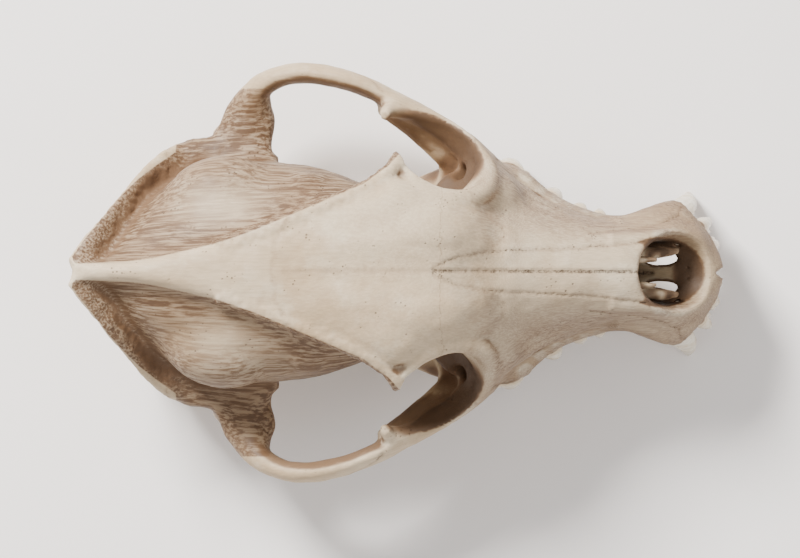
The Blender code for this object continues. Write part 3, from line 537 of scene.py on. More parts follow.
def limb_skin(rows, upright=True):
    """A limb of bone on both sides of the skull, through oval sections across its path."""
    rows = curve_through(rows)
    hint = np.array((0, 0, 1.0) if upright else (0, 1.0, 0))
    turn = np.linspace(0, 2 * math.pi, LIMB_CORNERS, endpoint=False)
    skins = []
    for side in (1, -1):
        path = rows[:, :3] * (1, side, 1)
        along = np.gradient(path, axis=0)
        across = np.cross(along, hint)
        across /= np.linalg.norm(across, axis=1)[:, None]
        up = np.cross(across, along)
        up /= np.linalg.norm(up, axis=1)[:, None]
        rings = (
            path[:, None]
            + across[:, None] * (rows[:, 3, None] * np.cos(turn))[..., None]
            + up[:, None] * (rows[:, 4, None] * np.sin(turn))[..., None]
        )
        skins.append(skin_of_rings(settled(rings)))
    return skins


def spike_skin(tooth, rows, side):
    """A cusp or a root of a tooth, through its level sections."""
    gum, facing = np.array(tooth[0]), math.radians(tooth[1])
    outward = np.array((math.cos(facing), math.sin(facing), 0))
    forward = np.array((math.sin(facing), -math.cos(facing), 0))
    turn = np.linspace(0, 2 * math.pi, LIMB_CORNERS, endpoint=False)
    rings = []
    for ahead, out, down, half_long, half_wide in curve_through(rows):
        centre = gum + forward * ahead + outward * out - np.array((0, 0, down))
        ring = centre + np.outer(np.cos(turn), forward * half_long)
        ring = ring + np.outer(np.sin(turn), outward * half_wide)
        rings.append(ring * (1, side, 1))
    return skin_of_rings(settled(rings))


class Field:
    """Distances to a surface in millimetres, on a grid, less than nothing inside it."""

    def __init__(self, low, size, grain):
        self.low, self.grain = np.array(low), grain
        self.far = REACH * grain
        self.room = np.full(size, self.far, np.float32)

    def part(self, skins):
        """The distances round one form, and where in the grid they lie."""
        made = None
        for points, triangles in skins:
            grid = openvdb.FloatGrid.createLevelSetFromPolygons(
                points.astype(np.float32),
                triangles=triangles.astype(np.uint32),
                transform=openvdb.createLinearTransform(voxelSize=self.grain),
                halfWidth=REACH,
            )
            first, last = (np.array(corner) for corner in grid.evalActiveVoxelBoundingBox())
            if made is None:
                lowest, highest, made = first, last, []
            lowest, highest = np.minimum(lowest, first), np.maximum(highest, last)
            made.append(grid)
        lowest = np.maximum(lowest, self.low)
        highest = np.minimum(highest, self.low + self.room.shape - 1)
        size = highest - lowest + 1
        if (size < 1).any():
            return None, None
        nearest = np.full(size, self.far, np.float32)
        for grid in made:
            here = np.empty(size, np.float32)
            grid.copyToArray(here, ijk=tuple(int(v) for v in lowest))
            nearest = np.minimum(nearest, here)
        start = lowest - self.low
        return nearest, tuple(slice(int(a), int(a + n)) for a, n in zip(start, size))

    def egg(self, mass):
        """The distances round an egg on both sides of the skull, and where they lie."""
        x, y, z, long, wide, tall, turned = mass
        lowest, highest = [], []
        for side in (1, -1):
            centre = settled((x, y * side, z))
            reach = max(long, wide, tall) + self.far
            lowest.append(np.floor((centre - reach) / self.grain))
            highest.append(np.ceil((centre + reach) / self.grain))
        lowest = np.maximum(np.min(lowest, axis=0), self.low).astype(int)
        highest = np.minimum(np.max(highest, axis=0), self.low + self.room.shape - 1).astype(int)
        axes = [np.arange(a, b + 1) * self.grain for a, b in zip(lowest, highest)]
        nearest = None
        for side in (1, -1) if y else (1,):
            centre = settled((x, y * side, z))
            turn = math.radians(turned * side)
            dx = axes[0][:, None, None] - centre[0]
            dy = axes[1][None, :, None] - centre[1]
            dz = axes[2][None, None, :] - centre[2]
            ahead = dx * math.cos(turn) + dy * math.sin(turn)
            across = dy * math.cos(turn) - dx * math.sin(turn)
            shell = np.sqrt((ahead / long) ** 2 + (across / wide) ** 2 + (dz / tall) ** 2)
            slope = np.sqrt((ahead / long**2) ** 2 + (across / wide**2) ** 2 + (dz / tall**2) ** 2)
            here = np.clip(shell * (shell - 1) / np.maximum(slope, 1e-4), -self.far, self.far)
            nearest = here if nearest is None else np.minimum(nearest, here)
        start = lowest - self.low
        size = highest - lowest + 1
        return nearest.astype(np.float32), tuple(slice(int(a), int(a + n)) for a, n in zip(start, size))

    def grow(self, part, where, blend):
        """Adds a form, which flows into what is there over that many millimetres where they cross."""
        if part is None:
            return
        here = self.room[where]
        near = np.maximum(blend - np.abs(here - part), 0)
        near[np.minimum(here, part) > blend] = 0
        slopes, more_slopes = np.gradient(here, self.grain), np.gradient(part, self.grain)
        alike = sum(a * b for a, b in zip(slopes, more_slopes))
        near *= np.sqrt(np.clip((1 - alike) * 2.2, 0.16, 1))
        self.room[where] = np.minimum(here, part) - near**2 / (4 * blend)

    def melt(self, rounds):
        """Softens every edge and crease, alike on both sides of the midline."""
        middle = -int(self.low[1])
        self.room[:, :middle] = self.room[:, 2 * middle : middle : -1]
        for _ in range(rounds):
            for axis in range(3):
                room = np.moveaxis(self.room, axis, 0)
                softer = room.copy()
                softer[1:-1] = (room[:-2] + 2 * room[1:-1] + room[2:]) / 4
                self.room = np.moveaxis(softer, 0, axis)

    def hollow(self, part, where, blend):
        """Takes a form away, and rounds the edge over that many millimetres."""
        if part is None:
            return
        here = -self.room[where]
        near = np.maximum(blend - np.abs(here - part), 0)
        near[np.minimum(here, part) > blend] = 0
        self.room[where] = near**2 / (4 * blend) - np.minimum(here, part)

    def below(self, height):
        """How far below a height each level of the grid lies."""
        levels = (np.arange(self.room.shape[2]) + self.low[2]) * self.grain
        return (height - levels).astype(np.float32)[None, None, :]

    def stand_flat(self):
        """Cuts off everything below the table's top."""
        self.room = np.maximum(self.room, self.below(0))

    def at(self, points):
        """The distance at each point, between the grid's own."""
        place = points / self.grain - self.low
        place = np.clip(place, 0, np.array(self.room.shape) - 1.001)
        cell = place.astype(int)
        share = (place - cell).astype(np.float32)
        value = np.zeros(len(points), np.float32)
        for step in itertools.product((0, 1), repeat=3):
            weight = np.ones(len(points), np.float32)
            for axis in range(3):
                weight *= share[:, axis] if step[axis] else 1 - share[:, axis]
            i, j, k = (cell + step).T
            value += weight * self.room[i, j, k]
        return value

    def mirrored(self):
        """The same field with the right half made from the left."""
        low = (self.low[0], 1 - self.room.shape[1] - self.low[1], self.low[2])
        whole = Field(low, (1, 1, 1), self.grain)
        left = self.room[:, -self.low[1] :]
        whole.room = np.concatenate((left[:, :0:-1], left), axis=1)
        whole.low = np.array((self.low[0], 1 - left.shape[1], self.low[2]))
        return whole

    def skin(self):
        """The points and four-cornered faces of the surface."""
        grid = openvdb.FloatGrid(self.far)
        grid.transform = openvdb.createLinearTransform(voxelSize=self.grain)
        corner = tuple(int(v) for v in self.low)
        grid.copyFromArray(np.ascontiguousarray(self.room), ijk=corner, tolerance=0)
        points, _, quads = grid.convertToPolygons(isovalue=0, adaptivity=0)
        return points.astype(float), np.asarray(quads, int)


def largest_piece(points, quads):
    """Leaves out crumbs that don't hang together with the rest."""
    label = np.arange(len(points))
    edges = np.vstack([quads[:, [0, 1]], quads[:, [1, 2]], quads[:, [2, 3]]])
    while True:
        lowest = label.copy()
        np.minimum.at(lowest, edges[:, 0], label[edges[:, 1]])
        np.minimum.at(lowest, edges[:, 1], label[edges[:, 0]])
        lowest = lowest[lowest]
        if (lowest == label).all():
            break
        label = lowest
    kept = label[quads[:, 0]] == np.bincount(label).argmax()
    quads = quads[kept]
    used = np.unique(quads)
    renumbered = np.full(len(points), -1)
    renumbered[used] = np.arange(len(used))
    return points[used], renumbered[quads]


def outward(points, quads):
    """The faces wound so that they look out of the solid."""
    a, b, c, d = (points[quads[:, k]] for k in range(4))
    volume = np.einsum("ij,ij->", a, np.cross(b, c)) + np.einsum("ij,ij->", a, np.cross(c, d))
    return quads if volume > 0 else quads[:, ::-1]


def mesh_from(name, points, quads):
    """A smooth mesh, in metres, of points in millimetres."""
    mesh = bpy.data.meshes.new(name)
    mesh.vertices.add(len(points))
    mesh.vertices.foreach_set("co", (points * MM).ravel())
    mesh.loops.add(quads.size)
    mesh.loops.foreach_set("vertex_index", quads.ravel())
    mesh.polygons.add(len(quads))
    mesh.polygons.foreach_set("loop_start", np.arange(0, quads.size, 4))
    mesh.polygons.foreach_set("use_smooth", np.ones(len(quads), bool))
    mesh.update(calc_edges=True)
    return mesh


def points_of(mesh):
    """A mesh's points in millimetres, and the way each one faces."""
    points = np.empty(len(mesh.vertices) * 3)
    facing = np.empty(len(mesh.vertices) * 3)
    mesh.vertices.foreach_get("co", points)
    mesh.vertex_normals.foreach_get("vector", facing)
    return points.reshape(-1, 3) / MM, facing.reshape(-1, 3)


def ripple(points, length, seed, waves=14):
    """Smooth unevenness between about -1 and 1, which repeats nowhere near the skull."""
    chance = np.random.default_rng(seed)
    total = np.zeros(len(points))
    for _ in range(waves):
        way = chance.normal(size=3)
        way *= 2 * math.pi / (np.linalg.norm(way) * length * chance.uniform(0.6, 1.6))
        total += np.sin(points @ way + chance.uniform(0, 2 * math.pi))
    return total / math.sqrt(waves / 2)


def put_attribute(mesh, name, values):
    """Keeps one number for each of a mesh's points, for its material."""
    made = mesh.attributes.new(name, "FLOAT", "POINT")
    made.data.foreach_set("value", np.ascontiguousarray(values, np.float32))


def near_line(distance, place, width):
    """One at that distance, falling to nothing over about the width on both sides of it."""
    return np.exp(-(((distance - place) / width) ** 2))


def new_object(name, mesh, material):
    """An object at the skull's origin with one material."""
    made = bpy.data.objects.new(name, mesh)
    bpy.context.scene.collection.objects.link(made)
    mesh.materials.clear()
    mesh.materials.append(material)
    return made


def plain_mesh(made):
    """The mesh of an object with its modifiers applied, in the object's stead."""
    bpy.context.view_layer.update()
    mesh = bpy.data.meshes.new_from_object(made.evaluated_get(bpy.context.evaluated_depsgraph_get()))
    bpy.data.objects.remove(made)
    return mesh


def thin_out(mesh, triangles, keep):
    """The mesh with about that many triangles, the most where keep is high."""
    made = bpy.data.objects.new("thinning", mesh)
    bpy.context.scene.collection.objects.link(made)
    decimate = made.modifiers.new("thin out", "DECIMATE")
    decimate.ratio = triangles / (2 * len(mesh.polygons))
    group = made.vertex_groups.new(name="spare")
    for level in range(11):
        chosen = np.flatnonzero(np.round(keep * 10).astype(int) == level)
        if len(chosen):
            group.add(chosen.tolist(), 1 - level / 10, "REPLACE")
    decimate.vertex_group = "spare"
    decimate.vertex_group_factor = 8.0
    return plain_mesh(made)


def tooth_field(tooth, side, grain, low, size, with_cusps=True):
    """The distances round one tooth, or round its roots alone."""
    _, _, cusps, roots = tooth
    field = Field(low, size, grain)
    for forms, blend in ((cusps if with_cusps else (), 1.1), (roots, 0.9)):
        for rows in forms:
            field.grow(*field.part([spike_skin(tooth, rows, side)]), blend)
    return field


def bone_field(grain):
    """The whole cranium's left half as a field."""
    low = np.floor(np.array(BONE_LOW) / grain).astype(int)
    size = np.ceil(np.array(BONE_HIGH) / grain).astype(int) - low + 1
    everywhere = (slice(None),) * 3
    bone = Field(low, size, grain)
    for rows, blend in ((BRAINCASE, 2.0), (SNOUT, 7.0), (ROOF, 6.0), (SKULL_BASE, 4.0)):
        bone.grow(*bone.part(midline_skin(rows)), blend)
    for mass, blend in (
        (FRONTAL_SINUS, 8.0),
        (CHEEK, 5.5),
        (PARIETAL_SWELL, 7.0),
        (FRONT_SWELL, 7.0),
        (SUPRAOCCIPITAL, 5.0),
        (TYMPANIC_BULLA, 2.0),
        (BULLA_NECK, 3.0),
        (MASTOID, 5.0),
        (EAR_LIP, 2.5),
        (OCCIPITAL_CONDYLE, 2.0),
        (JAW_SOCKET_ROOF, 4.0),
    ):
        bone.grow(*bone.egg(mass), blend)
    bone.melt(6)
    for rows, blend, upright in (
        (MAXILLA_WALL, 4.5, True),
        (ZYGOMATIC_ARCH, 5.0, True),
        (CHEEK_SHELF, 4.0, True),
        (ORBIT_FLOOR, 4.0, True),
        (MASSETER_RIDGE, 3.0, True),
        (ORBIT_RIM, 3.0, True),
        (TEMPORAL_LINE, 3.0, True),
        (NUCHAL_CREST, 3.5, False),
        (OCCIPITAL_RIDGE, 3.0, False),
        (MEATUS_SHELF, 4.0, True),
        (JUGULAR_PROCESS, 3.5, False),
        (RETROARTICULAR_PROCESS, 3.0, False),
        (PTERYGOID_PLATE, 2.5, True),
        (PTERYGOID_HOOK, 1.5, True),
        (TOOTH_RIDGE, 2.2, True),
        (CANINE_BULGE, 5.0, False),
        (NASAL_BONE_TIP, 3.0, True),
    ):
        bone.grow(*bone.part(limb_skin(rows, upright)), blend)
    for tooth in TEETH.values():
        roots = tooth_field(tooth, 1, grain, low, size, with_cusps=False)
        gum = settled(tooth[0])[2]
        covered = np.maximum(roots.room - ROOT_COVER, bone.below(gum + ROOT_COVER_STARTS))
        bone.grow(covered, everywhere, 2.5)
    for rows, blend in ((BRAIN, 1.5), (FORAMEN_MAGNUM, 1.5), (NASAL_PASSAGE, 1.2)):
        bone.hollow(*bone.part(midline_skin(rows)), blend)
    for mass, blend in (
        (NOSE_OPENING, 1.6),
        (EYE_SOCKET_BACK, 2.0),
        (EYE_SOCKET_MOUTH, 2.0),
        (EAR_OPENING, 1.2),
        (PALATINE_FISSURE, 1.2),
    ):
        bone.hollow(*bone.egg(mass), blend)
    for rows, blend, upright in (
        (INFRAORBITAL_CANAL, 1.5, True),
        (OPTIC_CANAL, 1.2, True),
        (ORBITAL_FISSURE, 1.2, True),
        (ROUND_CANAL, 1.2, True),
        (OVAL_OPENING, 1.0, False),
        (JUGULAR_OPENING, 1.0, False),
        (HYPOGLOSSAL_OPENING, 0.8, False),
        (RETROARTICULAR_OPENING, 1.0, False),
        (PALATINE_OPENING, 0.8, False),
        (SMALL_PALATINE_OPENING, 0.6, False),
        (LACRIMAL_OPENING, 1.0, True),
        (PALATE_GROOVE, 1.5, True),
        (BROW_FURROW, 5.0, True),
    ):
        bone.hollow(*bone.part(limb_skin(rows, upright)), blend)
    bone.grow(*bone.egg(BASE_KNOB), 1.5)
    bone.grow(*bone.part(limb_skin(VOMER)), 1.5)
    for tooth in TEETH.values():
        whole = tooth_field(tooth, 1, grain, low, size)
        bone.hollow(whole.room - SOCKET_ROOM, everywhere, 0.6)
    bone.stand_flat()
    return bone


def draw_seams(points, quads):
    """Where each seam runs on the surface, as points a step apart, and how faint it is at each."""
    tree = BVHTree.FromPolygons(points.tolist(), quads.tolist())
    chance = np.random.default_rng(7)
    found, faintness = [], []
    for view, start, wander, faint, path in SEAMS.values():
        across = curve_through(np.array(path, float), 12)
        steps = np.linalg.norm(np.diff(across, axis=0), axis=1)
        along = np.concatenate(([0], np.cumsum(steps)))
        even = np.arange(0, along[-1], SEAM_STEP)
        line = np.stack([np.interp(even, along, across[:, k]) for k in range(2)], axis=1)
        way = np.gradient(line, axis=0)
        way /= np.linalg.norm(way, axis=1)[:, None] + 1e-9
        zigzag = np.sin(even * 2 * math.pi / 2.3 + 1.2 * np.sin(even * 0.9))
        zigzag += 0.6 * np.sin(even * 2 * math.pi / 1.1 + chance.uniform(0, 6))
        zigzag += 0.8 * np.sin(even * 2 * math.pi / 9.0 + chance.uniform(0, 6))
        line += np.stack((-way[:, 1], way[:, 0]), axis=1) * (zigzag * wander * 0.6)[:, None]
        for side in (1, -1):
            for a, b in line:
                if view == "beside":
                    table, ray = (a, start * side, b), (0, -side, 0)
                else:
                    table, ray = (a, b * side, start), (0, 0, -1 if view == "above" else 1)
                hit = tree.ray_cast(Vector(settled(table)), Vector(ray))[0]
                if hit is not None:
                    found.append(tuple(hit))
                    faintness.append(faint)
    return np.array(found), faintness


def nearness(points, targets, most, extra=None):
    """How far each point is from the nearest target, with the target's extra, up to the most given."""
    tree = KDTree(len(targets))
    for i, target in enumerate(targets):
        tree.insert(target, i)
    tree.balance()
    cells = {tuple(c) for c in np.floor(targets / most).astype(int)}
    near = set()
    for c in cells:
        steps = itertools.product((-1, 0, 1), repeat=3)
        near.update((c[0] + i, c[1] + j, c[2] + k) for i, j, k in steps)
    distance = np.full(len(points), float(most))
    for i, cell in enumerate(map(tuple, np.floor(points / most).astype(int))):
        if cell in near:
            _, target, away = tree.find(points[i])
            distance[i] = min(most, away + (extra[target] if extra else 0))
    return distance


def limb_nearness(points, tables, most):
    """How far each point is from the nearest of some limbs of the tables, on either side."""
    targets = []
    for rows in tables:
        path = curve_through(rows, 10)[:, :3]
        targets += [settled(path), settled(path * (1, -1, 1))]
    return nearness(points, np.vstack(targets), most)


def deep_painted_shade(mesh, points, facing, table, outward_y):
    """How much painted shade each point gets for lying deep in a large hollow, in the nose, an eye socket
    or inside an arch.
    """
    triangles = np.empty(len(mesh.loop_triangles) * 3, np.int32)
    mesh.loop_triangles.foreach_get("vertices", triangles)
    coarse = Field((-90, -70, -20), (180, 140, 100), 1.6)
    part, where = coarse.part([(points, triangles.reshape(-1, 3))])
    coarse.room[where] = part
    deep = np.zeros(len(points))
    # Painted shade where the surface faces into a hollow
    for step in (6.0, 11.0, 18.0):
        deep += np.clip(1 - coarse.at(points + facing * step) / step, 0, 1) / 3
    x, y, z = table.T
    round_nose = 1 - np.sqrt(((x - 85.5) / 15.5) ** 2 + (y / 12.0) ** 2)
    nose = np.clip(np.minimum(np.minimum(round_nose * 14, z - 34.5), 60.5 - z), 0, 1) * (x < 101.5)
    across = (table - np.array(EYE_SOCKET_BACK[:3])) / np.array(EYE_SOCKET_BACK[3:6])
    how_far = np.linalg.norm(across, axis=1)
    looks = np.column_stack((facing[:, 0], outward_y, facing[:, 2]))
    inward = -(across * looks).sum(1) / (how_far + 1e-6)
    socket = np.clip((1.35 - how_far) / 0.25, 0, 1) * np.clip(inward * 2.5, 0, 1)
    socket *= np.clip((70 - z) / 9, 0, 1)
    to_arch = limb_nearness(points, (ZYGOMATIC_ARCH,), 14.0)
    inner = np.clip((11 - to_arch) / 3, 0, 1) * np.clip(-outward_y - 0.15, 0, 0.5) * 2 * (y > 40)
    # Painted shade in the nose's opening, in the eye socket and on the arch's inner face
    for share, place in ((0.9, nose), (0.92, socket), (0.66, inner)):
        deep = np.maximum(deep, share * place)
    return deep


def muscle_ground_and_painted_shade(points, facing, table):
    """How far inside the jaw muscle's ground each point lies, and how much brown staining and painted shade
    it gets.

    The ground covers the side of the braincase, from the roof's edge down to the arch's root and back
    to the crest. It is darkest along the roof's edge and the crests, with a painted highlight on the
    swell of the braincase. The flanks of the snout get painted shade, the more the steeper they are.
    """
    x, y, z = table.T
    beyond = (y - np.interp(x, *np.array(ROOF_EDGE).T)) * 0.9
    arch = np.interp(x, (-84, -68, -62, -44, -38), (38, 46, 61, 61, 44))
    ground = np.minimum(np.minimum(beyond, arch - y), np.minimum(2 - x, z - 36))
    crest_x, crest_y, crest_z = np.array(NUCHAL_CREST)[:, :3].T
    ahead = x - np.interp(y, crest_y, crest_x)
    ahead = np.minimum(ahead, x - np.interp(z, crest_z[::-1], crest_x[::-1]))
    turned = np.minimum((facing[:, 0] + 0.55) * 8, ahead + 5)
    ground = np.minimum(ground, np.maximum(turned, ahead - 0.5))
    shelf = limb_nearness(points, (NUCHAL_CREST, MEATUS_SHELF), 24.0)
    # Painted shade, darkest along the roof's edge and near the crests, and more towards the front
    shade = 0.88 + 0.35 * np.exp(-np.maximum(beyond, 0) / 4.0) + 0.50 * near_line(shelf, 0, 11.0)
    shade += 0.25 * np.clip((x + 34) / 34, 0, 1)
    # A painted highlight on the swell of the braincase
    shade -= 0.62 * near_line(x, -58, 13) * near_line(y, 22, 6.0)
    # Painted shade on the snout's flanks, the more the steeper they are
    flank = np.clip((0.97 - facing[:, 2]) / 0.62, 0, 1) * np.clip((x - 14) / 18, 0, 1)
    shade = np.where(x > 14, 0.85 * flank, shade)
    return np.where(x > 14, 6, ground), shade


def put_painted_shade(mesh, points, facing):
    """Puts the cranium's painted shade and highlight: large hollows, jaw muscle's ground, snout's flanks.
    """
    table = unsettled(points)
    outward_y = facing[:, 1] * np.sign(table[:, 1] + 1e-9)
    table[:, 1] = np.abs(table[:, 1])
    put_attribute(mesh, "deep", deep_painted_shade(mesh, points, facing, table, outward_y))
    ground, shade = muscle_ground_and_painted_shade(points, facing, table)
    put_attribute(mesh, "temple", np.clip(ground, -6, 6))
    put_attribute(mesh, "shade", np.clip(shade, 0, 1))


def surface_marks(mesh, field):
    """How deep in a hollow and how far out on an edge each point of a mesh lies."""
    points, facing = points_of(mesh)
    hollow = np.zeros(len(points))
    for step, share in ((1.5, 0.3), (4.0, 0.35), (7.5, 0.35)):
        hollow += share * np.clip(1 - field.at(points + facing * step) / step, 0, 1)
    edge = np.clip(1 + field.at(points - facing * 2.0) / 2.0, 0, 1)
    # The materials paint shade by the hollow, and pale wear with a painted highlight by the edge
    put_attribute(mesh, "hollow", hollow)
    put_attribute(mesh, "edge", edge)
    return points, facing


def lines_the_braincase(points):
    """Whether each point is on the inside of the braincase, where few triangles will do."""
    inside = np.zeros(len(points), bool)
    room = curve_through(BRAIN)
    middle = settled(np.stack((room[:, 0], room[:, 0] * 0, room[:, 1]), axis=1))
    for centre, row in zip(middle, room):
        near = np.abs(points[:, 0] - centre[0]) < 4
        across = points[:, 1] / (row[2] + 1.5)
        upward = (points[:, 2] - centre[2]) / (row[3] + 1.5)
        inside |= near & (np.sqrt(across**2 + upward**2) < 1)
    return inside


def move_points(mesh, points, facing, lift):
    """Moves a mesh's points out by that many millimetres."""
    moved = points + facing * lift[:, None]
    mesh.vertices.foreach_set("co", (moved * MM).ravel())
    mesh.update()
    return moved


def make_cranium(sizes, material):
    """The fused bones of the skull, with their seams, crests and openings."""
    field = bone_field(sizes.bone_grain / MM).mirrored()
    points, quads = largest_piece(*field.skin())
    quads = outward(points, quads)
    seams, faint = draw_seams(points, quads)
    mesh = mesh_from("cranium", points, quads)
    points, facing = points_of(mesh)
    cut = nearness(points, seams, SEAM_REACH, faint)
    crests = (NUCHAL_CREST, TEMPORAL_LINE, MASSETER_RIDGE, OCCIPITAL_RIDGE)
    rough = np.clip(1 - limb_nearness(points, crests, CREST_REACH) / CREST_REACH, 0, 1)
    groove = LIP_SHARE * near_line(cut, LIP_PLACE, LIP_WIDTH) - near_line(cut, 0, GROOVE_WIDTH)
    lift = groove * sizes.seam_depth / MM
    lift += 0.10 * ripple(points, 16, 3) + 0.05 * ripple(points, 6, 5)
    lift += rough * (0.16 * ripple(points, 3.6, 11) + 0.10 * ripple(points, 1.9, 13))
    lift[points[:, 2] < LEVEL] = 0
    points = move_points(mesh, points, facing, lift)
    keep = np.clip(0.45 + 0.55 * near_line(cut, 0, 1.2) + 0.25 * rough, 0, 1)
    keep[lines_the_braincase(points)] = 0
    mesh = thin_out(mesh, sizes.bone_triangles, keep)
    points, facing = surface_marks(mesh, field)
    put_attribute(mesh, "seam", nearness(points, seams, SEAM_REACH, faint))
    put_painted_shade(mesh, points, facing)
    return new_object("cranium_bone", mesh, material)


def make_tooth(name, side, sizes, material):
    """One tooth, with its cusps and roots."""
    tooth = TEETH[name]
    grain = sizes.tooth_grain / MM
    ends = np.vstack([spike_skin(tooth, rows, side)[0] for rows in tooth[2] + tooth[3]])
    low = np.floor(ends.min(0) / grain).astype(int) - 4
    high = np.ceil(ends.max(0) / grain).astype(int) + 4
    field = tooth_field(tooth, side, grain, low, high - low + 1)
    for lobe in INCISOR_LOBES.get(name, ()):
        field.grow(*field.part([spike_skin(tooth, cusp(*lobe), side)]), 0.5)
    field.stand_flat()
    points, quads = largest_piece(*field.skin())
    quads = outward(points, quads)
    mesh = mesh_from(name, points, quads)
    points, facing = points_of(mesh)
    seed = sum(map(ord, name)) + side
    lift = 0.05 * ripple(points, 5, seed) + 0.02 * ripple(points, 1.6, seed + 1)
    lift[points[:, 2] < 0.4] = 0
    points = move_points(mesh, points, facing, lift)
    surface_marks(mesh, field)
    put_attribute(mesh, "neck", points[:, 2] - settled(tooth[0])[2])
    return new_object(f"{name}_{'left' if side > 0 else 'right'}_crown", mesh, material)


def feed(tree, node, inputs):
    """Sets a node's inputs, each to a value or by a link from another node's output.

    An input goes by its name, with _ for a space, or by its number after an i.
    """
    for key, value in inputs.items():
        numbered = key[0] == "i" and key[1:].isdigit()
        socket = node.inputs[int(key[1:]) if numbered else key.replace("_", " ")]
        if isinstance(value, bpy.types.NodeSocket):
            tree.links.new(value, socket)
        else:
            socket.default_value = value


def add_node(tree, kind, settings=None, **inputs):
    """A node with its settings and its inputs, placed in rows of six as they are made."""
    count = len(tree.nodes)
    node = tree.nodes.new(kind)
    node.location = (240 * (count % 6) - 1600, 300 - 180 * (count // 6))
    for key, value in (settings or {}).items():
        setattr(node, key, value)
    feed(tree, node, inputs)
    return node


class Nodes:
    """A material's nodes."""

    def __init__(self, name):
        self.material = bpy.data.materials.new(name)
        self.material.use_nodes = True
        self.tree = self.material.node_tree
        self.place = self.add("ShaderNodeTexCoord").outputs["Object"]

    def add(self, kind, settings=None, **inputs):
        """One more node of this material."""
        return add_node(self.tree, kind, settings, **inputs)

    def math(self, kind, a, b, clamp=False):
        """One sum, as a node's output."""
        return self.add("ShaderNodeMath", {"operation": kind, "use_clamp": clamp}, i0=a, i1=b).outputs[0]

    def plus(self, a, b):
        return self.math("ADD", a, b)

    def minus(self, a, b):
        return self.math("SUBTRACT", a, b)

    def times(self, a, b):
        return self.math("MULTIPLY", a, b)

    def uneven(self, noise, size):
        """Noise about nothing, of that size."""
        return self.times(self.minus(noise, 0.5), size)

    def ramp(self, value, low, high, start=0.0, end=1.0):
        """A smooth step from start to end as the value goes from low to high."""
        smooth = {"interpolation_type": "SMOOTHSTEP"}
        node = self.add("ShaderNodeMapRange", smooth, i0=value, i1=low, i2=high, i3=start, i4=end)
        return node.outputs[0]

    def noise(self, place, scale, detail, roughness=0.5):
        """Noise about 0.5, as a node's output."""
        node = self.add(
            "ShaderNodeTexNoise", None, Vector=place, Scale=scale, Detail=detail, Roughness=roughness
        )
        return node.outputs["Fac"]

    def attribute(self, name):
        """One of the mesh's own numbers."""
        return self.add("ShaderNodeAttribute", {"attribute_name": name}).outputs["Fac"]

    def painted(self, ground, layers):
        """A ground colour with others laid over it one after another, each by its share."""
        colour = (*ground, 1)
        for share, paint in layers:
            node = self.add("ShaderNodeMix", {"data_type": "RGBA"}, i0=share, i6=colour, i7=(*paint, 1))
            colour = node.outputs[2]
        return colour

    def bump(self, height, distance):
        """A bump of that many metres."""
        node = self.add("ShaderNodeBump", None, Height=height, Distance=distance, Strength=1.0)
        return node.outputs[0]

    def finish(self, **inputs):
        """The material, its shader fed."""
        feed(self.tree, self.tree.nodes["Principled BSDF"], inputs)
        return self.material


